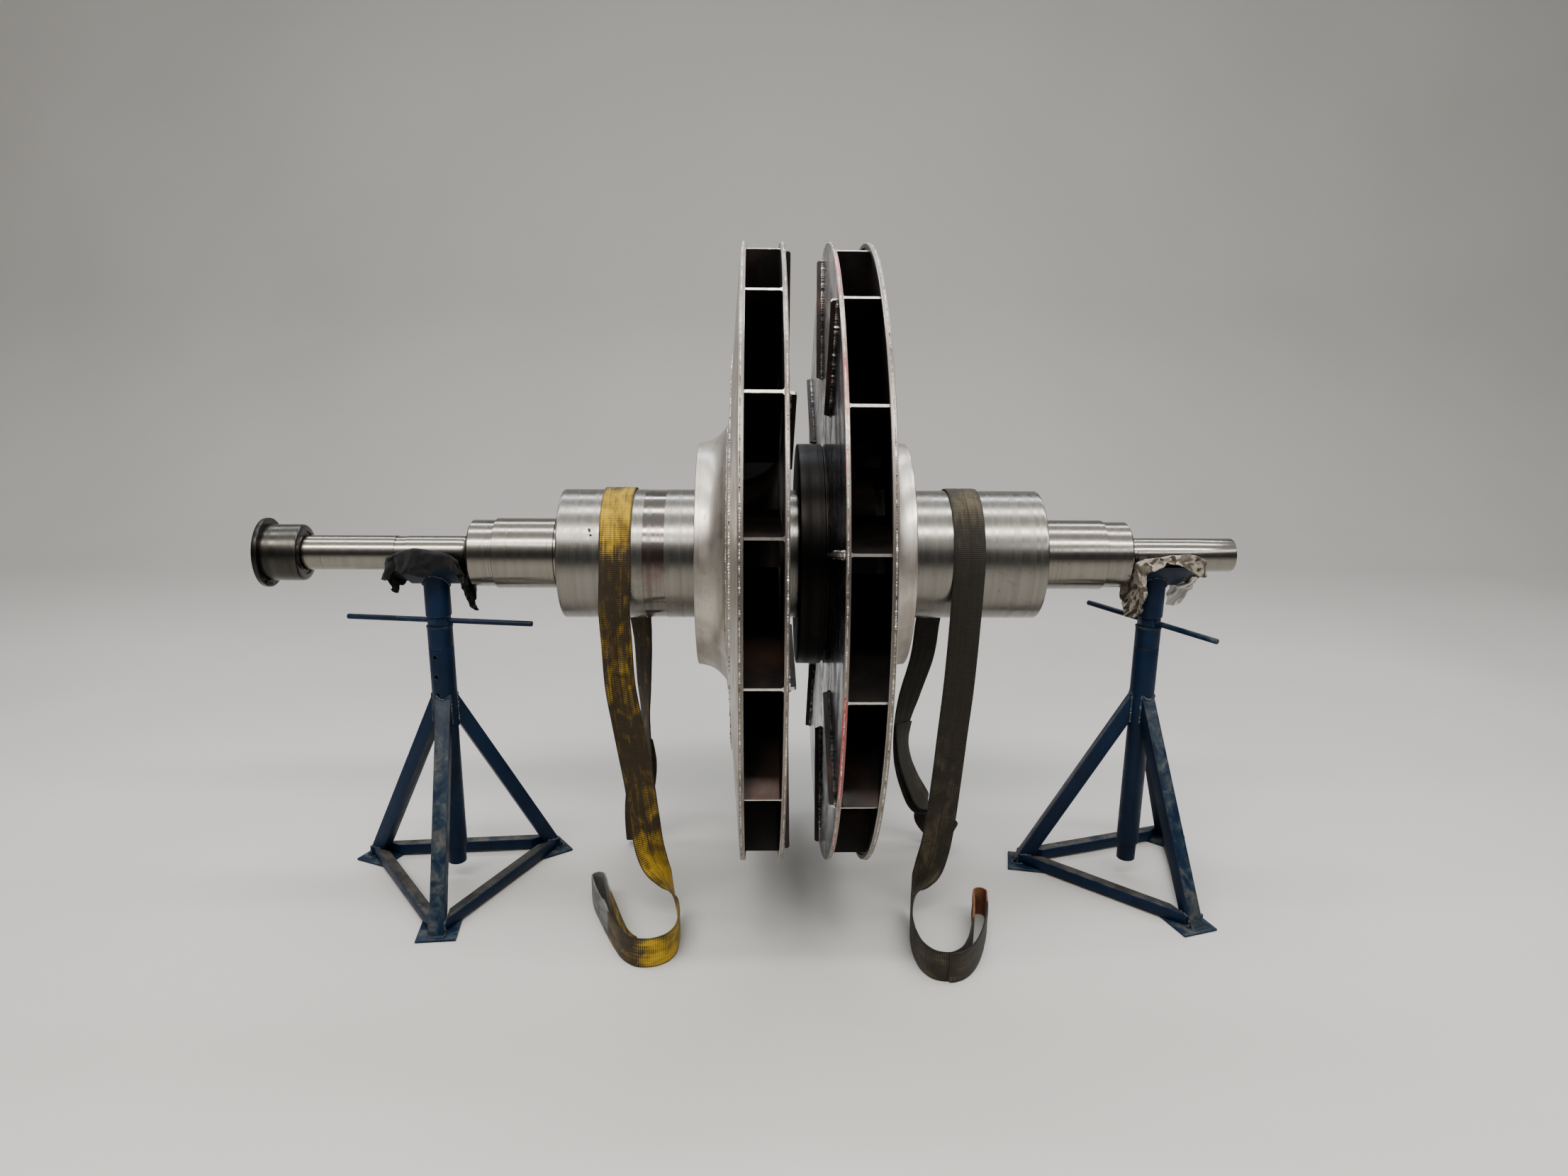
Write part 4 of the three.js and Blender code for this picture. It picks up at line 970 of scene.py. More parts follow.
def make_blade(form, side, degrees):
    """A flat blade between the back plate and the shroud, with a fillet along each of its four seams."""
    # ground marks the blade's tip end and the fillet ends there, which take the edge finish: a painted
    # highlight
    dark, ground = 0, 1
    half = BLADE_WALL / 2
    steps = 20
    root = math.sqrt(BLADE_ROOT_R**2 - BLADE_OFFSET**2)
    tip = math.sqrt(BLADE_TIP_R**2 - BLADE_OFFSET**2)
    runs = [root + (tip - root) * i / steps for i in range(steps + 1)]

    def depth_at(run):
        return shroud_inner(math.hypot(run, BLADE_OFFSET)) + 0.0005

    for across in (-half, half):
        points = []
        for run in runs:
            points.append(spoke(side, degrees, run, BLADE_OFFSET + across, PLATE_BACK - 0.0005))
            points.append(spoke(side, degrees, run, BLADE_OFFSET + across, depth_at(run)))
        form.add(points, [(2 * i, 2 * i + 2, 2 * i + 3, 2 * i + 1) for i in range(steps)], dark)
    for run, finish in ((runs[0], dark), (runs[-1], ground)):
        corners = [(BLADE_OFFSET - half, PLATE_BACK - 0.0005), (BLADE_OFFSET + half, PLATE_BACK - 0.0005),
                   (BLADE_OFFSET + half, depth_at(run)), (BLADE_OFFSET - half, depth_at(run))]
        form.add([spoke(side, degrees, run, a, d) for a, d in corners], [(0, 1, 2, 3)], finish)
    leg = 0.0055
    quarter = (0, math.pi / 6, math.pi / 3, math.pi / 2)
    arc = [(leg * (1 - math.sin(q)), leg * (1 - math.cos(q))) for q in quarter]
    n = len(arc)
    for face in (-1, 1):
        for wall in (0, 1):
            inward = -1 if wall else 1
            points = []
            for run in runs:
                base = depth_at(run) if wall else PLATE_BACK
                for up, out in arc:
                    across = BLADE_OFFSET + face * (half + out)
                    points.append(spoke(side, degrees, run, across, base + inward * up))
            faces = [(i * n + j, (i + 1) * n + j, (i + 1) * n + j + 1, i * n + j + 1)
                     for i in range(steps) for j in range(n - 1)]
            form.add(points, faces, dark)
            corner = [*points[-n:], spoke(side, degrees, runs[-1], BLADE_OFFSET + face * half, base)]
            form.add(corner, [tuple(range(len(corner)))], ground)


def make_bladed_plate(side):
    s = SIDES[side]
    # bright marks the rim's corner face, which takes the edge finish: a painted highlight
    inner, rim, dark, bright = 0, 1, 2, 3
    fairing = []
    for i in range(1, 10):
        q = (i / 10) * math.pi / 2
        x = PLATE_BACK + (BOSS_END - PLATE_BACK) * (1 - math.cos(q))
        fairing.append((x, BOSS_FOOT_R - (BOSS_FOOT_R - BOSS_R) * math.sin(q), dark))
    seam = 0.0565
    plate = Form()
    profile = [
        (PLATE_FACE, WHEEL_BORE_R, inner),
        (PLATE_FACE, 0.300, inner),
        (PLATE_FACE, 0.60, inner),
        (PLATE_FACE, RIM_R - 0.0010, rim),
        (PLATE_FACE + 0.0010, RIM_R, rim),
        (seam - 0.0010, RIM_R, rim),
        (seam - 0.0004, RIM_R - 0.0007, rim),
        (seam + 0.0004, RIM_R - 0.0007, rim),
        (seam + 0.0010, RIM_R, rim),
        (PLATE_BACK - 0.0012, RIM_R, bright),
        (PLATE_BACK, RIM_R - 0.0014, rim),
        (PLATE_BACK, BLADE_TIP_R, dark),
        (PLATE_BACK, BOSS_FOOT_R, dark),
        *fairing,
        (BOSS_END, BOSS_R, dark),
        (BOSS_END, WHEEL_BORE_R, dark),
    ]
    turned(plate, [(s * x, r, f) for x, r, f in profile], 256, loop=True)
    node = f"{side}_bladed_back_plate"
    rim_finish = FINISHES["dyed" if side == "right" else "rim"]
    finishes = [FINISHES["plate"], rim_finish, FINISHES["scale"], FINISHES["edge"]]
    piece(f"{side}_back_plate_disc", plate, finishes, "rotor", "plate_steel", [node])
    lean = math.degrees(math.asin(BLADE_OFFSET / BLADE_TIP_R))
    blades = Form()
    for k in range(BLADES):
        make_blade(blades, side, BLADE_FIRST[side] + k * 360 / BLADES - lean)
    finishes = [FINISHES["scale"], FINISHES["edge"]]
    piece(f"{side}_wheel_blades", blades, finishes, "rotor", "plate_steel", [node])
    ribs = Form()
    welds = Form()
    for k in range(RIBS):
        degrees = RIB_FIRST[side] + k * 360 / RIBS
        make_rib(ribs, welds, side, degrees)
    bead(welds, ring_path(s * seam, RIM_R - 0.0010, 300), 0.0013, 1, loop=True, lumps=0.7, pitch=0.007)
    piece(f"{side}_wheel_ribs", ribs, finishes, "rotor", "plate_steel", [node])
    finishes = [FINISHES["dark_weld"], FINISHES["weld"]]
    piece(f"{side}_back_plate_welds", welds, finishes, "rotor", "plate_steel")


def make_rib(ribs, welds, side, degrees):
    """A radial stiffener on the plate's inner face, with its welds."""
    half = RIB_WALL / 2
    low, high = RIB_R
    outline = [(low, PLATE_FACE + 0.0005), (low + 0.006, RIB_FACE), (high - 0.004, RIB_FACE),
               (high, RIB_FACE + 0.004), (high, PLATE_FACE + 0.0005)]
    first = [spoke(side, degrees, run, -half, depth) for run, depth in outline]
    second = [spoke(side, degrees, run, half, depth) for run, depth in outline]
    # The rib's narrow faces take the edge finish, a painted highlight
    slab(ribs, (first, second), (0, 1, 0))
    seam = PLATE_FACE - 0.0008
    ends = []
    for face in (-1, 1):
        across = face * (half + 0.0012)
        path = [spoke(side, degrees, low + (high - low) * i / 12, across, seam) for i in range(13)]
        bead(welds, path, 0.0030, 0, lumps=0.6, pitch=0.006)
        ends.append(path[-1])
    tip = spoke(side, degrees, high + 0.0016, 0, seam)
    bead(welds, [ends[0], tip, ends[1]], 0.0026, 1, lumps=0.5)


# Stands


def leg_angle(side, k):
    return math.radians(FIRST_LEG[side] + k * 360 / LEGS)


def stand_point(side, k, radial, across, z):
    """A point given from a stand's middle: along leg k, beside it, and up."""
    a = leg_angle(side, k)
    x = radial * math.cos(a) - across * math.sin(a)
    y = radial * math.sin(a) + across * math.cos(a)
    return Vector((STAND_X[side] + x, y, z))


def leg_top(radial):
    """The height of a leg's outer face."""
    top, start, slope = LEG_LINE
    return top - slope * (radial - start)


def make_legs(side):
    foot_z = PLATE_TOP + 0.0003
    welds = Form()
    for k in range(LEGS):
        a = leg_angle(side, k)
        outwards = Vector((math.cos(a) * LEG_FACES[0], math.sin(a) * LEG_FACES[0], LEG_FACES[1]))
        worn = 1 if k == 0 else 0

        def choose(normal, worn=worn, outwards=outwards):
            return worn if normal.dot(outwards) > 0.9 else 0

        finishes = [FINISHES["paint"], FINISHES["rubbed"]]
        node = f"{side}_stand_leg_{k + 1}"
        from_solid(node, f"{node}_tube", finishes, "stands", "navy_paint", 0.003, choose)
        node = f"{side}_foot_plate_{k + 1}"
        from_solid(node, f"{node}_cut", [FINISHES["foot"]], "stands", "worn_plate", 0.0008)
        # The bars' upward faces take the thinner paint: partly worn paint and dust, partly painted light from
        # above
        node = f"{side}_base_bar_{k + 1}"
        finishes = [FINISHES["paint"], FINISHES["thin_paint"]]
        from_solid(node, f"{node}_tube", finishes, "stands", "navy_paint", 0.0026,
                   lambda normal: 1 if normal.z > 0.9 else 0)
        half = LEG_WIDTH / 2
        steps = 9
        over = []
        for i in range(steps):
            across = half * (2 * i / (steps - 1) - 1)
            radial = math.sqrt(SLEEVE_R**2 - across**2)
            over.append(stand_point(side, k, radial, across, leg_top(radial) + 0.001))
        low = math.sqrt(SLEEVE_R**2 - half**2)
        bottom = leg_top(low) - LEG_THICK
        path = [stand_point(side, k, low, -half - 0.001, bottom), *over,
                stand_point(side, k, low, half + 0.001, bottom)]
        bead(welds, path, 0.0032, lumps=0.5, pitch=0.006)
        inner, outer = LEG_FOOT
        corners = [(inner, -half), (outer, -half), (outer, half), (inner, half)]
        foot = [stand_point(side, k, r, t, foot_z + 0.0005) for r, t in corners]
        bead(welds, foot, 0.0026, loop=True, lumps=0.5, pitch=0.006)
        for face in (-1, 1):
            away = face * (half + 0.0008)
            inside, outside = BAR_LINE_R - 0.030, BAR_LINE_R + 0.008
            top = foot_z + BAR_SIZE
            path = [stand_point(side, k, outside + 0.001, away, foot_z),
                    stand_point(side, k, outside, away, top - 0.001),
                    stand_point(side, k, inside, away, top + 0.0005)]
            bead(welds, path, 0.0026, lumps=0.5, pitch=0.006)
    piece(f"{side}_stand_welds", welds, [FINISHES["paint_weld"]], "stands", "navy_paint")


def make_post(side):
    node = f"{side}_stand_post"
    from_solid(node, f"{node}_tube", [FINISHES["paint"]], "stands", "navy_paint", 0.0008)
    node = f"{side}_stand_collar"
    form = Form()
    turned(form, [
        (COLLAR_BOTTOM, POST_BORE),
        (COLLAR_BOTTOM, SLEEVE_R - 0.0012),
        (0.6765, SLEEVE_R),
        (0.7280, SLEEVE_R),
        (0.7290, SLEEVE_R + 0.0014),
        (0.7322, SLEEVE_R + 0.0014),
        (COLLAR_TOP, SLEEVE_R),
        (COLLAR_TOP, POST_BORE),
    ], 48, centre=(STAND_X[side], 0), loop=True)
    piece(f"{node}_ring", form, [FINISHES["paint"]], "stands", "navy_paint", [node])


def make_screw(side):
    body = f"{side}_jack_screw"
    node = f"{side}_screw"
    from_solid(node, f"{node}_and_neck", [FINISHES["paint"]], body, "navy_paint", 0.0009)
    bar = f"{side}_tommy_bar"
    from_solid(bar, f"{bar}_round", [FINISHES["thin_paint"]], body, "navy_paint", 0.0012)
    x = STAND_X[side]
    low, high = THREAD_ENDS
    sides = 40
    rows = round((high - low) / (THREAD_PITCH / 8))
    form = Form()
    points = []
    for i in range(rows + 1):
        z = low + (high - low) * i / rows
        for k in range(sides):
            a = TURN * k / sides
            wave = abs(((z / THREAD_PITCH - k / sides) % 1) * 2 - 1)
            r = SCREW_R + 0.0002 + 0.0011 * min(1, max(0, (wave - 0.2) / 0.6))
            points.append((x + r * math.cos(a), r * math.sin(a), z))
    form.add(points, tube_faces(rows + 1, sides))
    form.add(points[:sides], [tuple(reversed(range(sides)))])
    form.add(points[-sides:], [tuple(range(sides))])
    piece(f"{side}_screw_thread", form, [FINISHES["hub"]], body, "navy_paint")


def v_point(side, slope, out, along):
    """A point of a V-head: up one slope from its apex, out from the shaft, and along the head."""
    face = 1 if slope > 0 else -1
    slope = abs(slope)
    across = face * (slope + out) / math.sqrt(2)
    return Vector((STAND_X[side] + along, across, V_APEX + (slope - out) / math.sqrt(2)))


def head_ends(side):
    """How far the top edges of a V-head's plates reach along the shaft, from the stand's middle."""
    s = SIDES[side]
    return sorted((-s * V_HALF["inner"], s * V_HALF["outer"]))


def add_v_plates(form, side, foot_low, foot_high):
    """A V-head's two plates, whose lower edges run between two places along the shaft."""
    low, high = head_ends(side)
    outline = [(foot_low, 0.0), (foot_high, 0.0), (high, V_SLOPE), (low, V_SLOPE)]
    for face in (-1, 1):
        inner = [v_point(side, face * max(slope, 1e-6), 0, along) for along, slope in outline]
        outer = [v_point(side, face * max(slope, 1e-6), V_WALL, along) for along, slope in outline]
        if face > 0:
            inner.reverse()
            outer.reverse()
        slab(form, (inner, outer))


def make_head(side):
    form = Form()
    add_v_plates(form, side, -V_HALF["foot"], V_HALF["foot"])
    made = piece(f"{side}_v_plates", form, [FINISHES["paint"]], "heads", "navy_paint", [f"{side}_v_head"])
    round_edges(made, 0.0012)
    sleeve = Form()
    sides = 48
    under = V_APEX - V_WALL * math.sqrt(2)
    rings = ((0.020, HEAD_BOTTOM), (HEAD_R - 0.0012, HEAD_BOTTOM), (HEAD_R, HEAD_BOTTOM + 0.0012),
             (HEAD_R, None))
    points = []
    for radius, z in rings:
        for k in range(sides):
            a = TURN * k / sides
            x, y = radius * math.cos(a), radius * math.sin(a)
            top = under + abs(y) + 0.002
            points.append((STAND_X[side] + x, y, top if z is None else z))
    sleeve.add(points, tube_faces(len(rings), sides))
    sleeve.add(points[:sides], [tuple(range(sides))])
    sleeve.add(points[-sides:], [tuple(range(sides))])
    joint = []
    joint_r = HEAD_R + 0.001
    for k in range(60):
        a = TURN * k / 60
        y = joint_r * math.sin(a)
        joint.append(Vector((STAND_X[side] + joint_r * math.cos(a), y, under + abs(y))))
    bead(sleeve, joint, 0.0030, 1, loop=True, lumps=0.5, pitch=0.006)
    finishes = [FINISHES["paint"], FINISHES["paint_weld"]]
    piece(f"{side}_head_sleeve", sleeve, finishes, "heads", "navy_paint", [f"{side}_v_head"])


# Slings. Each station is x, y, z of the middle of the webbing, then its twist and its roll in degrees.
# Twist 0 faces the front, twist 90 with roll 0 shows its edge, and 90 with roll 90 stands on its edge.
# edge is the way the width points along X, eye_clean how clean the layer turned back at the floor eye is,
# and sleeve the share of each layer there that the sleeve covers.
SLINGS = {
    "left": {
        "edge": -1,
        "colour": "yellow",
        "eye_clean": 0.55,
        "sleeve": 0.52,
        "barrel_x": -0.4605,
        "front": [
            (-0.463, -0.1695, 0.875, 2, 0), (-0.465, -0.170, 0.823, 12, 0), (-0.461, -0.171, 0.740, 18, 0),
            (-0.455, -0.173, 0.625, 18, 0), (-0.442, -0.175, 0.539, 10, 0), (-0.428, -0.177, 0.452, 4, 0),
            (-0.414, -0.179, 0.366, 4, 0), (-0.401, -0.184, 0.262, 8, 0), (-0.391, -0.189, 0.190, 18, 0),
        ],
        "floor": [
            (-0.377, -0.193, 0.146, 34, 0), (-0.354, -0.199, 0.108, 62, 8), (-0.334, -0.212, 0.076, 84, 32),
            (-0.319, -0.238, 0.052, 90, 62), (-0.311, -0.280, 0.041, 90, 85), (-0.308, -0.330, 0.040, 90, 90),
            (-0.313, -0.378, 0.040, 90, 90), (-0.333, -0.413, 0.040, 90, 90), (-0.368, -0.432, 0.040, 90, 90),
        ],
        "floor_eye": [
            (-0.404, -0.430, 0.040, 90, 90), (-0.436, -0.404, 0.040, 90, 90), (-0.463, -0.358, 0.040, 90, 90),
            (-0.486, -0.308, 0.040, 90, 90), (-0.512, -0.247, 0.040, 90, 90), (-0.535, -0.188, 0.040, 90, 90),
            (-0.550, -0.140, 0.040, 90, 90),
        ],
        "back": [
            (-0.457, 0.1695, 0.875, -2, 0), (-0.452, 0.170, 0.823, -12, 0), (-0.438, 0.171, 0.701, -36, 0),
            (-0.433, 0.171, 0.631, -46, 0), (-0.433, 0.170, 0.502, -56, 0), (-0.432, 0.170, 0.420, -66, 0),
        ],
        "back_eye": [
            (-0.433, 0.170, 0.350, -62, 0), (-0.440, 0.169, 0.280, -42, 0), (-0.451, 0.168, 0.210, -20, 0),
            (-0.459, 0.167, 0.140, -6, 0), (-0.460, 0.166, 0.080, 0, 0), (-0.458, 0.165, 0.036, 0, 0),
        ],
    },
    "right": {
        "edge": 1,
        "colour": "olive",
        "eye_clean": 0.35,
        "sleeve": 0.36,
        "barrel_x": 0.4075,
        "front": [
            (0.406, -0.1695, 0.875, 2, 0), (0.404, -0.170, 0.823, 8, 0), (0.400, -0.171, 0.720, 10, 0),
            (0.394, -0.173, 0.610, 6, 0), (0.385, -0.175, 0.500, 2, 0), (0.375, -0.178, 0.373, 0, 0),
            (0.363, -0.184, 0.255, 4, 0), (0.351, -0.189, 0.180, 10, 0),
        ],
        "floor": [
            (0.337, -0.193, 0.132, 30, 0), (0.318, -0.199, 0.098, 58, 10), (0.303, -0.212, 0.070, 82, 34),
            (0.291, -0.240, 0.049, 90, 64), (0.282, -0.285, 0.041, 90, 86), (0.275, -0.345, 0.040, 90, 90),
            (0.275, -0.400, 0.040, 90, 90), (0.285, -0.452, 0.040, 90, 90), (0.309, -0.488, 0.040, 90, 90),
        ],
        "floor_eye": [
            (0.342, -0.497, 0.040, 90, 90), (0.372, -0.480, 0.040, 90, 90), (0.396, -0.442, 0.040, 90, 90),
            (0.414, -0.394, 0.040, 90, 90), (0.430, -0.337, 0.040, 90, 90), (0.443, -0.280, 0.040, 90, 90),
            (0.452, -0.222, 0.040, 90, 90),
        ],
        "back": [
            (0.402, 0.1695, 0.875, -2, 0), (0.386, 0.170, 0.790, -8, 0), (0.368, 0.170, 0.704, -20, 0),
            (0.356, 0.170, 0.594, -22, 0), (0.324, 0.170, 0.474, -30, 0),
        ],
        "back_eye": [
            (0.306, 0.170, 0.390, -46, 0), (0.299, 0.169, 0.325, -58, 0), (0.304, 0.167, 0.270, -58, 20),
            (0.320, 0.165, 0.215, -54, 50), (0.342, 0.162, 0.165, -52, 72), (0.368, 0.160, 0.120, -58, 84),
            (0.396, 0.158, 0.082, -70, 88), (0.424, 0.156, 0.056, -82, 90), (0.448, 0.153, 0.044, -90, 90),
        ],
    },
}
EYE_MOUTH = 0.006
EYE_OPENING = 0.034
STEPS_A_STATION = 8
ACROSS_STEPS = 12


def width_way(edge, twist, roll):
    """Which way the webbing's width points at a station."""
    t, r = math.radians(twist), math.radians(roll)
    return Vector((edge * math.cos(t), -math.sin(t) * math.cos(r), math.sin(t) * math.sin(r)))


def curve_through(points, steps):
    """A smooth line through points, whose speed follows the spacing between them."""
    line = [Vector(p) for p in points]
    ends = [line[0] * 2 - line[1], *line, line[-1] * 2 - line[-2]]
    made = []
    for i in range(1, len(ends) - 2):
        a, b, c, d = ends[i - 1: i + 3]
        t1 = max((b - a).length, 1e-6) ** 0.5
        t2 = t1 + max((c - b).length, 1e-6) ** 0.5
        t3 = t2 + max((d - c).length, 1e-6) ** 0.5
        for k in range(steps):
            t = t1 + (t2 - t1) * k / steps
            ab = a.lerp(b, t / t1)
            bc = b.lerp(c, (t - t1) / (t2 - t1))
            cd = c.lerp(d, (t - t2) / (t3 - t2))
            made.append(ab.lerp(bc, t / t2).lerp(bc.lerp(cd, (t - t1) / (t3 - t1)), (t - t1) / (t2 - t1)))
    return [*made, line[-1]]


def sling_run(side):
    """Stations from the eye behind, over the barrel and down to the floor eye: (middle, width)."""
    spec = SLINGS[side]
    edge = spec["edge"]

    def listed(name):
        return [(at(x, y, z), width_way(edge, twist, roll)) for x, y, z, twist, roll in spec[name]]

    wrap = []
    for i in range(1, 12):
        a = math.pi * i / 12
        middle = at(spec["barrel_x"], WRAP_R * math.cos(a), AXIS_Z + WRAP_R * math.sin(a))
        wrap.append((middle, Vector((edge, 0, 0))))
    sides = [(at(spec["barrel_x"], y, AXIS_Z), Vector((edge, 0, 0))) for y in (WRAP_R, -WRAP_R)]
    behind = [*reversed(listed("back_eye")), *reversed(listed("back")), sides[0]]
    ahead = [sides[1], *listed("front"), *listed("floor"), *listed("floor_eye")]
    stations = [*behind, *wrap, *ahead]
    counts = {"back_eye": len(spec["back_eye"]), "floor_eye": len(spec["floor_eye"])}
    return stations, counts


def framed(middles, widths):
    """Makes the width square to the run at each place, and gives the webbing's face direction."""
    rows = []
    for i, (middle, width) in enumerate(zip(middles, widths)):
        ahead = (middles[min(i + 1, len(middles) - 1)] - middles[max(i - 1, 0)]).normalized()
        square = (width - ahead * width.dot(ahead)).normalized()
        rows.append((middle, square, ahead.cross(square).normalized()))
    return rows


def eye_gap(share):
    """How far apart an eye's two layers are, at a share of the way from its mouth to its end."""
    return EYE_MOUTH + (EYE_OPENING - EYE_MOUTH) * math.sin(share * math.pi / 2)


def eye_layer(rows, fold):
    """The webbing turned back at an eye's end, beside itself to its mouth. rows run out to the end."""
    tip, face_out = rows[-1], rows[-1][2]
    ahead = (tip[0] - rows[-2][0]).normalized()
    radius = EYE_OPENING / 2
    turn = []
    for i in range(1, 12):
        a = math.pi * i / 12
        middle = tip[0] + face_out * (fold * radius * (1 - math.cos(a))) + ahead * (radius * math.sin(a))
        turn.append((middle, tip[1], face_out * math.cos(a) - ahead * (fold * math.sin(a))))
    back = []
    for i, (middle, width, face) in enumerate(rows):
        back.append((middle + face * (fold * eye_gap(i / (len(rows) - 1))), width, -face))
    return [*turn, *reversed(back)]


def strap(name, rows, clean_and_lit_levels, sleeves, finish, slot):
    """Webbing with rounded edges through framed rows, mapped across and along."""
    half = WEB_WIDTH / 2
    thick = WEB_THICK / 2
    steps = ACROSS_STEPS
    section = [(half * (2 * j / steps - 1), 1.0) for j in range(steps + 1)]
    section += [(half * (1 - 2 * j / steps), -1.0) for j in range(steps + 1)]
    count = len(section)
    points, along, clean = [], [], []
    run = 0.0
    for i, (middle, width, face) in enumerate(rows):
        if i:
            run += (middle - rows[i - 1][0]).length
        sway = 0.0008 * noise.noise(Vector((run * 14, 3.1, 0)))
        for across, out in section:
            edge = abs(across) / half
            rounding = thick * (1 - 0.5 * max(0, edge - 0.9) * 10 * 0.55)
            pucker = 0.0005 * noise.noise(Vector((run * 60, across * 90, 7.7)))
            seam = -0.0006 if abs(across) < 0.002 else 0.0
            points.append(middle + width * across + face * (out * (rounding + seam) + sway + pucker))
            along.append(run)
            clean.append(clean_and_lit_levels[i])
    faces = tube_faces(len(rows), count)
    last = (len(rows) - 1) * count
    for j in range(steps):
        faces.append((j, j + 1, count - 2 - j, count - 1 - j))
        faces.append((last + j, last + j + 1, last + count - 2 - j, last + count - 1 - j))
    form = Form()
    form.add(points, faces)
    made = piece(name, form, [finish], None, slot, crease=60)
    mesh = made.data
    add_map(mesh, "strap", [(section[v % count][0] + half, run) for v, run in enumerate(along)])
    # Clean level for each point, with a painted highlight where the webbing lies over the top of the barrel
    shade = mesh.attributes.new("clean", "FLOAT", "POINT")
    shade.data.foreach_set("value", clean)
    patched = mesh.attributes.new("sleeve", "FLOAT", "POINT")
    patched.data.foreach_set("value", [sleeves[v // count] for v in range(len(points))])
    return made


# How clean each sling is, from its eye behind to its floor eye: (share of the run, how clean). Where each
# sling lies over the front top of the barrel, the rise is partly clean webbing and partly a painted
# highlight.
CLEAN_AND_LIT = {
    "left": [(0, 0.25), (0.3, 0.3), (0.38, 0.6), (0.43, 0.78), (0.455, 0.62), (0.475, 0.28),
             (0.52, 0.28), (0.56, 0.42), (0.61, 0.28), (0.655, 0.35), (0.68, 0.62), (0.72, 0.72),
             (0.76, 0.6), (0.82, 0.8), (0.86, 0.7), (0.885, 0.25), (0.93, 0.35), (1.0, 0.4)],
    "right": [(0, 0.2), (0.3, 0.2), (0.38, 0.5), (0.45, 0.6), (0.48, 0.3), (0.58, 0.12),
              (0.68, 0.5), (0.75, 0.45), (0.85, 0.4), (1.0, 0.3)],
}


def make_sling(side):
    spec = SLINGS[side]
    stations, counts = sling_run(side)
    middles = curve_through([middle for middle, _ in stations], STEPS_A_STATION)
    widths = curve_through([width for _, width in stations], STEPS_A_STATION)
    rows = framed(middles, widths)
    back_rows = (counts["back_eye"] - 1) * STEPS_A_STATION + 1
    floor_rows = (counts["floor_eye"] - 1) * STEPS_A_STATION + 1
    behind = [(m, w, -f) for m, w, f in reversed(rows[:back_rows])]
    behind_layer = [(m, w, -f) for m, w, f in reversed(eye_layer(behind, 1))]
    floor_layer = eye_layer(rows[-floor_rows:], 1)
    shares, values = zip(*CLEAN_AND_LIT[side])
    clean = list(np.interp(np.linspace(0, 1, len(rows)), shares, values))
    whole = [*behind_layer, *rows, *floor_layer]
    levels = [0.3] * len(behind_layer) + clean + [spec["eye_clean"]] * len(floor_layer)
    finish = FINISHES[spec["colour"]]
    slot = spec["colour"] + "_webbing"
    covered = round(floor_rows * spec["sleeve"])
    first = len(behind_layer) + len(rows) - covered
    last = len(behind_layer) + len(rows) + covered
    sleeves = [1.0 if first <= i < last else 0.0 for i in range(len(whole))]
    made = strap(f"{side}_webbing_sling", whole, levels, sleeves, finish, slot)
    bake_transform(made)
    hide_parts(f"{side}_sling_hanging", f"{side}_sling_on_floor")
    for i, (middle, _, face) in enumerate(rows):
        if i < back_rows:
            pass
        elif i >= len(rows) - floor_rows:
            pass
        else:
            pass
    return made


# Rags: each sheet is cut to an outline in x and s, both in metres. x runs along the shaft from the stand's
# middle, and s across the V from its apex, with the front below nought. heap is how high the front of the
# sheet is bunched up above the plate, at places along x.
RAG_SHEETS = {
    "left": [
        {
            "name": "left_black_rag", "finish": "black_cloth", "lay": 0.0075, "seed": 3.0, "bend": 1.2,
            "outline": [(-0.135, 0.000), (-0.186, -0.045), (-0.198, -0.085), (-0.184, -0.138),
                        (-0.145, -0.176), (-0.090, -0.155), (-0.050, -0.190), (-0.010, -0.214),
                        (0.018, -0.200), (0.032, -0.168), (0.075, -0.142), (0.145, -0.122),
                        (0.170, -0.060), (0.186, 0.000), (0.222, 0.040), (0.237, 0.082),
                        (0.226, 0.116), (0.186, 0.142), (0.120, 0.142), (0.000, 0.136),
                        (-0.100, 0.130), (-0.140, 0.085), (-0.135, 0.040)],
            "heap": ((-0.110, 0.018), (-0.070, 0.024), (-0.025, 0.034), (0.030, 0.026), (0.080, 0.008)),
        },
    ],
    "right": [
        {
            "name": "right_white_cloth", "finish": "white_cloth", "lay": 0.0045, "seed": 9.0, "bend": 1.2,
            "outline": [(0.030, -0.086), (0.130, -0.088), (0.250, -0.085), (0.228, -0.040), (0.196, 0.000),
                        (0.216, 0.040), (0.234, 0.078), (0.110, 0.084), (0.030, 0.080)],
            "heap": ((0.0, 0.0),),
        },
        {
            "name": "right_mottled_rag", "finish": "mottled_cloth", "lay": 0.0075, "seed": 6.0, "bend": 1.2,
            "outline": [(-0.128, 0.000), (-0.195, -0.040), (-0.228, -0.085), (-0.218, -0.145),
                        (-0.150, -0.185), (-0.070, -0.150), (-0.010, -0.148), (0.060, -0.164),
                        (0.110, -0.158), (0.178, -0.150), (0.158, -0.078), (0.080, -0.030),
                        (0.068, 0.000), (0.085, 0.040), (0.128, 0.085), (0.100, 0.120),
                        (0.000, 0.130), (-0.090, 0.125), (-0.130, 0.080), (-0.130, 0.040)],
            "heap": ((-0.100, 0.004), (-0.020, 0.012), (0.054, 0.024), (0.100, 0.014)),
        },
    ],
}
SHEET_STEP = 0.0068
SHEET_FRAMES = 26
SHEET_THICK = 0.0014
OVER_EDGE = V_SLOPE + 0.004
TURN_OVER = 0.014
HEAP_RISE = (0.22, 0.975)
HEAP_HELD = 0.004
EDGE_LOOSE = 0.006


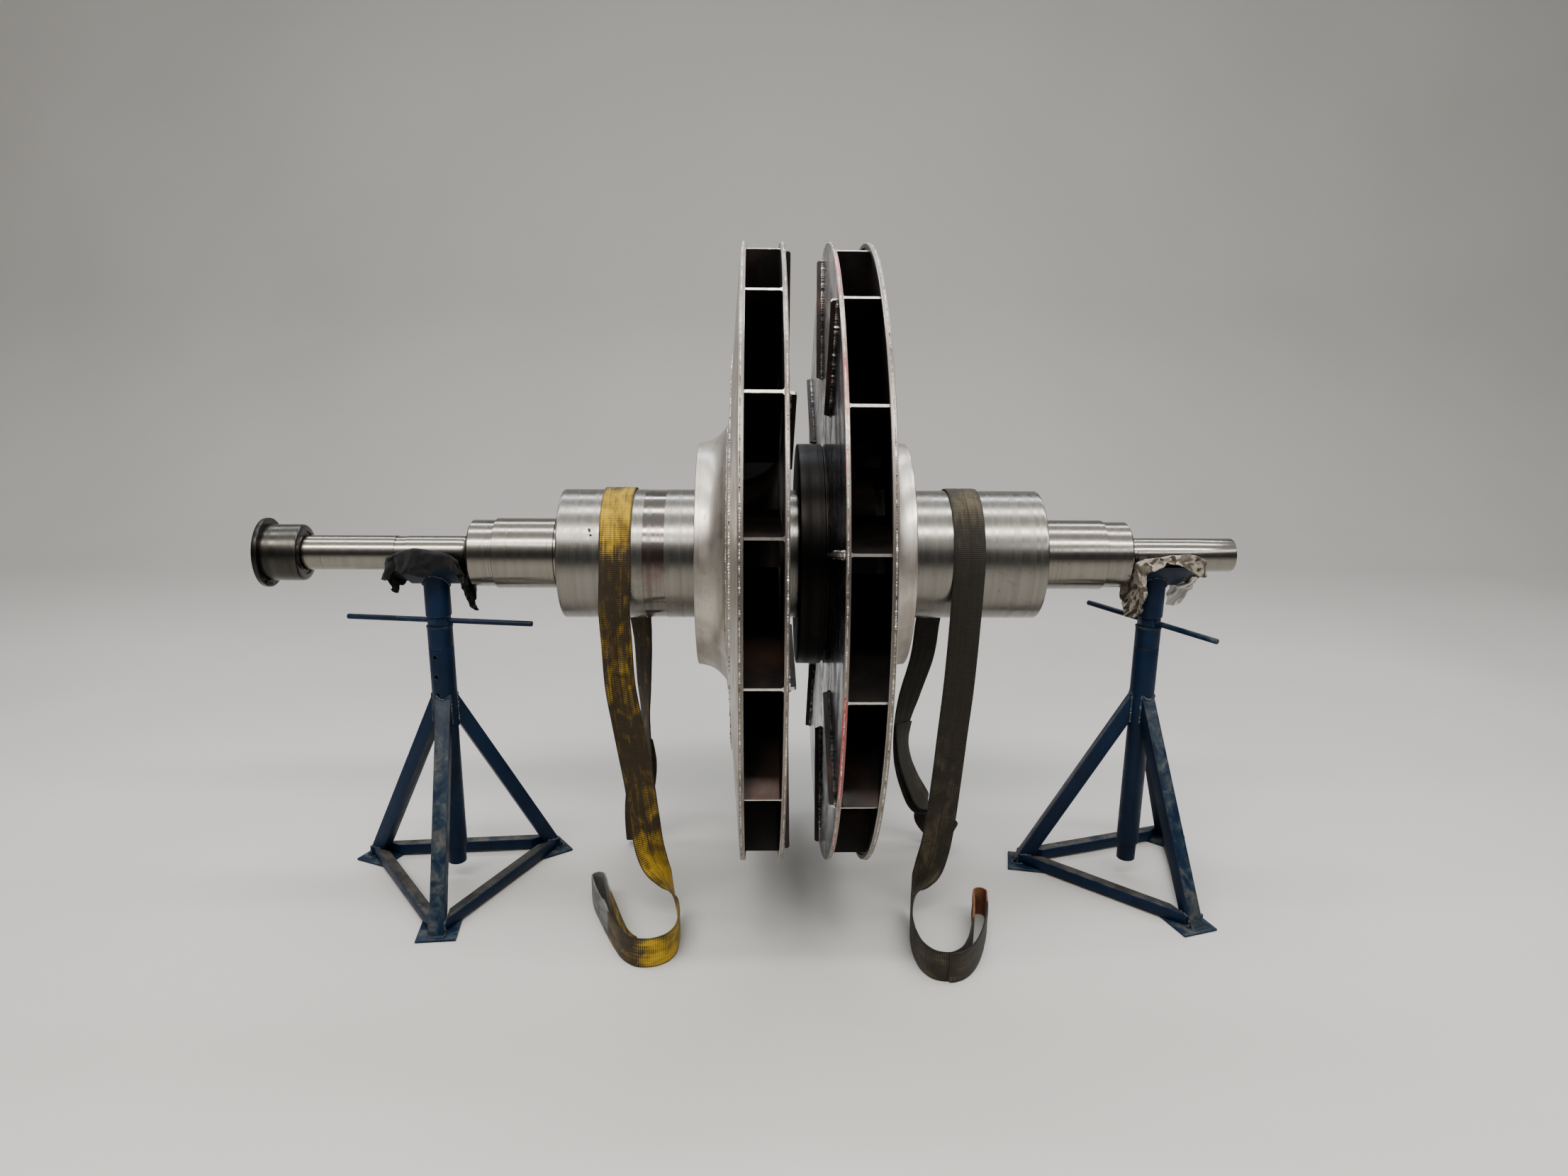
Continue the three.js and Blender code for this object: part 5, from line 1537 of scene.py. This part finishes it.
def inside(outline, x, s):
    """Whether a point lies inside an outline."""
    within = False
    for (x1, s1), (x2, s2) in zip(outline, outline[1:] + outline[:1]):
        if (s1 > s) != (s2 > s) and x < x1 + (x2 - x1) * (s - s1) / (s2 - s1):
            within = not within
    return within


def onto_outline(outline, x, s):
    """The nearest place on an outline."""
    nearest = None
    for (x1, s1), (x2, s2) in zip(outline, outline[1:] + outline[:1]):
        run = (x2 - x1) ** 2 + (s2 - s1) ** 2
        share = min(1, max(0, ((x - x1) * (x2 - x1) + (s - s1) * (s2 - s1)) / run))
        there = (x1 + (x2 - x1) * share, s1 + (s2 - s1) * share)
        gap = math.hypot(there[0] - x, there[1] - s)
        if nearest is None or gap < nearest[0]:
            nearest = (gap, there)
    return nearest[1]


def heap_at(spec, x):
    """How high the front of a sheet is bunched up, at a place along the shaft."""
    places, heights = zip(*spec["heap"])
    return float(np.interp(x, places, heights))


def laid(side, x, s, spec):
    """Where a point of a sheet starts: in the V, and over the plate's edges and down outside them."""
    seed = spec["seed"]
    turn = SIDES[side]
    face = 1 if s > 0 else -1
    along = min(abs(s), OVER_EDGE)
    over = max(0.0, abs(s) - OVER_EDGE)
    share = min(1.0, along / V_SLOPE)
    inner, outer = [V_HALF["foot"] + (V_HALF[end] - V_HALF["foot"]) * share for end in ("inner", "outer")]
    low, high = sorted((-turn * inner, turn * outer))
    kept = min(high, max(low, x))
    beyond = x - kept
    point = v_point(side, face * max(along, 1e-6), -spec["lay"], kept)
    up = min(over, heap_at(spec, x) if face < 0 else 0.0)
    point += Vector((0, face * HEAP_RISE[0] * up, HEAP_RISE[1] * up))
    over -= up
    reach = math.hypot(beyond, over)
    if reach > 1e-6:
        level = min(reach, TURN_OVER)
        drop = reach - level
        fan = 2 * abs(beyond) * over / reach**2
        out = 0.10 + 0.45 * fan
        flat = Vector((beyond / reach, face * over / reach, 0))
        point += flat * (level + out * drop) - Vector((0, 0, math.sqrt(1 - out * out) * drop))
        depth = min(1.0, drop / 0.03)
        ripple = noise.noise(Vector((x * 30 + seed, s * 30, seed)))
        ripple += 0.5 * noise.noise(Vector((x * 70, s * 70, seed)))
        point += flat * (0.010 * ripple * depth)
    if face < 0 and up > 0:
        crumple = noise.noise(Vector((x * 20 + s * 9 + seed, s * 30, 4.4 + seed)))
        crease = noise.noise(Vector((x * 46 + seed, s * 60 - x * 30, 1.7 + seed)))
        dent = Vector((0, -0.016 * abs(crumple) - 0.005 * abs(crease), 0.005 * crumple))
        point += dent * min(1.0, up / 0.01)
    return point


def soft_body_around(side):
    """The shapes that the sheets fall on, for the simulation alone."""
    x = STAND_X[side] - MIDDLE_X
    s = SIDES[side]
    form = Form()
    add_v_plates(form, side, *head_ends(side))
    shoulder = s * BEARING_END[side]
    near, far = x + s * 0.30, shoulder - s * 0.12
    turned(form, [(near, 0), (near, END_R), (shoulder, END_R), (shoulder, BEARING_R),
                  (far, BEARING_R), (far, 0)], 40)
    turned(form, [(0.40, 0), (0.40, HEAD_R), (V_APEX - V_WALL, HEAD_R), (V_APEX - V_WALL, 0)], 24,
           centre=(STAND_X[side], 0))
    mesh = bpy.data.meshes.new("fall_on")
    mesh.from_pydata(form.points, [], form.faces)
    face_outwards(mesh)
    around = placed("fall_on", mesh)
    hits = around.modifiers.new("hits", "COLLISION")
    hits.settings.thickness_outer = 0.002
    hits.settings.cloth_friction = 20
    return around


def settle(side, spec):
    """Lets one sheet fall, and gives its points once it is still, its faces and its flat places."""
    outline = spec["outline"]
    xs = [x for x, _ in outline]
    ss = [s for _, s in outline]
    columns = np.arange(min(xs), max(xs) + SHEET_STEP, SHEET_STEP)
    rows = np.arange(min(ss), max(ss) + SHEET_STEP, SHEET_STEP)
    within = {(i, j) for i, x in enumerate(columns) for j, s in enumerate(rows) if inside(outline, x, s)}
    squares = []
    for i, j in sorted(within):
        corners = [(i, j), (i + 1, j), (i + 1, j + 1), (i, j + 1)]
        if all(corner in within for corner in corners):
            squares.append(corners)
    uses = {}
    for corners in squares:
        for corner in corners:
            uses[corner] = uses.get(corner, 0) + 1
    number = {corner: k for k, corner in enumerate(sorted(uses))}
    flat = []
    for i, j in sorted(uses):
        place = (float(columns[i]), float(rows[j]))
        flat.append(place if uses[i, j] == 4 else onto_outline(outline, *place))
    faces = [[number[corner] for corner in corners] for corners in squares]
    mesh = bpy.data.meshes.new("falling")
    start = [laid(side, x, s, spec) for x, s in flat]
    mesh.from_pydata([tuple(p) for p in start], [], faces)
    falling = placed("falling", mesh)
    low, high = head_ends(side)
    held = falling.vertex_groups.new(name="held")
    for k, (x, across) in enumerate(flat):
        lying = OVER_EDGE + heap_at(spec, x) + HEAP_HELD if across < 0 else V_SLOPE - EDGE_LOOSE
        if low + EDGE_LOOSE < x < high - EDGE_LOOSE and abs(across) < lying:
            held.add([k], 1.0, "REPLACE")
    cloth = falling.modifiers.new("cloth", "CLOTH")
    settings = cloth.settings
    settings.quality = 6
    settings.mass = 0.25
    settings.air_damping = 3
    settings.tension_stiffness = 60
    settings.compression_stiffness = 60
    settings.shear_stiffness = 20
    settings.bending_stiffness = spec["bend"]
    settings.vertex_group_mass = "held"
    cloth.collision_settings.distance_min = 0.0022
    cloth.collision_settings.use_self_collision = True
    cloth.collision_settings.self_distance_min = 0.0024
    cloth.collision_settings.collision_quality = 2
    cloth.point_cache.frame_start = 1
    cloth.point_cache.frame_end = SHEET_FRAMES
    scene = bpy.context.scene
    for step in range(1, SHEET_FRAMES + 1):
        scene.frame_set(step)
    still = falling.evaluated_get(bpy.context.evaluated_depsgraph_get()).data
    points = [tuple(v.co) for v in still.vertices]
    scene.frame_set(1)
    bpy.data.objects.remove(falling)
    bpy.data.meshes.remove(mesh)
    return points, faces, flat


def make_rags(side):
    around = soft_body_around(side)
    slot = "black_cloth" if side == "left" else "mottled_cloth"
    node = f"{side}_rag"
    for spec in RAG_SHEETS[side]:
        points, faces, flat = settle(side, spec)
        form = Form()
        form.add(points, faces)
        made = piece(spec["name"], form, [FINISHES[spec["finish"]]], "heads", slot, [node], crease=180)
        add_map(made.data, "cloth", flat)
        rounded = made.modifiers.new("rounded", "SUBSURF")
        rounded.levels = rounded.render_levels = 2
        rounded.boundary_smooth = "PRESERVE_CORNERS"
        thick = made.modifiers.new("thick", "SOLIDIFY")
        thick.thickness = SHEET_THICK
        thick.offset = 0
        for face in faces:
            (x1, s1), (x2, s2), (x3, s3), (x4, s4) = [flat[k] for k in face]
        xs = [x for x, _ in flat]
        ss = [s for _, s in flat]
    bpy.data.objects.remove(around)
    make_rag_folds(side, slot, node)


def make_rag_folds(side, slot, node):
    """The rag's lower layers, folded flat between the V plates and the sheet on top."""
    low, high = head_ends(side)
    form = Form()
    rows, columns = 40, 30
    for layer, (lay, wall) in enumerate(((0.0004, 0.0020), (0.0026, 0.0018), (0.0046, 0.0018))):
        points = []
        for out in (0, 1):
            for i in range(rows + 1):
                across = (V_SLOPE + 0.001 - 0.004 * layer) * (2 * i / rows - 1)
                for j in range(columns + 1):
                    share = j / columns
                    wave = 0.004 * noise.noise(Vector((across * 22, layer * 3.3, share)))
                    x = (low - 0.004 - wave) * (1 - share) + (high + 0.004 + wave) * share
                    up = across if abs(across) > 1e-6 else 1e-6
                    points.append(v_point(side, up, -(lay + wall * out), x))
        count = (rows + 1) * (columns + 1)
        wide = columns + 1
        faces = []
        for base, turn in ((0, False), (count, True)):
            for i in range(rows):
                for j in range(columns):
                    face = [base + i * wide + j, base + (i + 1) * wide + j, base + (i + 1) * wide + j + 1,
                            base + i * wide + j + 1]
                    faces.append(face[::-1] if turn else face)
        rim = list(range(columns)) + [i * wide + columns for i in range(rows)]
        rim += [rows * wide + j for j in range(columns, 0, -1)] + [i * wide for i in range(rows, 0, -1)]
        for a, b in zip(rim, rim[1:] + rim[:1]):
            faces.append([a, b, count + b, count + a])
        form.add(points, faces)
    made = piece(f"{side}_rag_folds", form, [FINISHES[slot]], "heads", slot, [node], crease=60)
    add_map(made.data, "cloth", [(v.co.x, v.co.y * 1.4) for v in made.data.vertices])
    return made


# Camera and studio

FOCAL_PX = 1511
PHOTO_WIDE = 2212
CAMERA_AT = (-0.118, -2.7077, 1.55)
PITCH_DOWN = 14.80
YAW_RIGHT = 1.58
ROLL = 0.53


def make_camera():
    lens = bpy.data.cameras.new("photo_camera")
    lens.sensor_width = 36
    lens.lens = FOCAL_PX / PHOTO_WIDE * lens.sensor_width
    lens.clip_end = 60
    camera = placed("photo_camera", lens)
    yaw, pitch, roll = math.radians(YAW_RIGHT), math.radians(PITCH_DOWN), math.radians(ROLL)
    ahead = Vector((math.sin(yaw) * math.cos(pitch), math.cos(yaw) * math.cos(pitch), -math.sin(pitch)))
    level = Vector((math.cos(yaw), -math.sin(yaw), 0))
    up = level.cross(ahead)
    right = level * math.cos(roll) + up * math.sin(roll)
    above = up * math.cos(roll) - level * math.sin(roll)
    turn = Matrix((right, above, -ahead)).transposed()
    camera.matrix_world = Matrix.Translation(at(*CAMERA_AT)) @ turn.to_4x4()
    bpy.context.scene.camera = camera


def make_backdrop():
    """A pale floor that sweeps up into a wall behind."""
    wide, front, back, bend, high = 14.0, -14.0, 5.2, 1.6, 7.0
    profile = [(front, 0.0), (back - bend, 0.0)]
    for i in range(1, 13):
        a = math.pi / 2 * i / 12
        profile.append((back - bend + bend * math.sin(a), bend * (1 - math.cos(a))))
    profile.append((back, high))
    points = [(x, y, z - 0.0005) for y, z in profile for x in (-wide, wide)]
    faces = [(2 * i, 2 * i + 1, 2 * i + 3, 2 * i + 2) for i in range(len(profile) - 1)]
    mesh = bpy.data.meshes.new("backdrop")
    mesh.from_pydata(points, [], faces)
    mesh.materials.append(floor_finish())
    mesh.shade_smooth()
    made = placed("backdrop", mesh)


def make_light(name, place, target, size, power, warmth=(1, 1, 1)):
    lamp = bpy.data.lights.new(name, "AREA")
    lamp.shape = "RECTANGLE"
    lamp.size, lamp.size_y = size
    lamp.energy = power
    lamp.color = warmth
    made = placed(name, lamp)
    made.location = place
    made.rotation_euler = (Vector(target) - Vector(place)).to_track_quat("-Z", "Y").to_euler()


def make_studio():
    make_camera()
    make_backdrop()
    middle = (MIDDLE_X, 0, 0.9)
    front = (MIDDLE_X, -0.2, 0.9)
    make_light("key_light", (-2.2, -3.2, 4.2), middle, (4.6, 0.6), 90, (1, 0.98, 0.95))
    make_light("fill_light", (3.4, -2.8, 3.2), middle, (4.6, 0.6), 50, (0.94, 0.97, 1))
    make_light("long_lamp_front", (MIDDLE_X, -2.3, 4.0), front, (7.0, 0.32), 290, (1, 0.97, 0.92))
    make_light("long_lamp_top", (MIDDLE_X, 0.2, 4.4), middle, (7.0, 0.42), 190)
    make_light("long_lamp_back", (MIDDLE_X, 2.3, 3.8), middle, (7.0, 0.22), 120, (0.86, 0.92, 1))
    world = bpy.data.worlds.new("studio_air")
    world.use_nodes = True
    bpy.context.scene.world = world
    t = Tree(world.node_tree)
    world.node_tree.nodes.clear()
    height = t.node("SeparateXYZ", {"Vector": t.node("TexCoord").outputs["Generated"]}).outputs[2]
    shade = t.blend(t.spread(height, 0.28, 0.66), (0.15, 0.15, 0.155), (1.33, 1.32, 1.31))
    air = t.node("Background", {"Color": shade, "Strength": 0.60})
    t.tree.links.new(air.outputs[0], t.node("OutputWorld").inputs[0])


make_studio()
make_shaft()
make_coupling()
make_drum()
for wheel in SIDES:
    make_shroud(wheel)
    make_bladed_plate(wheel)
    make_legs(wheel)
    make_post(wheel)
    make_screw(wheel)
    make_head(wheel)
    make_rags(wheel)
    make_sling(wheel)
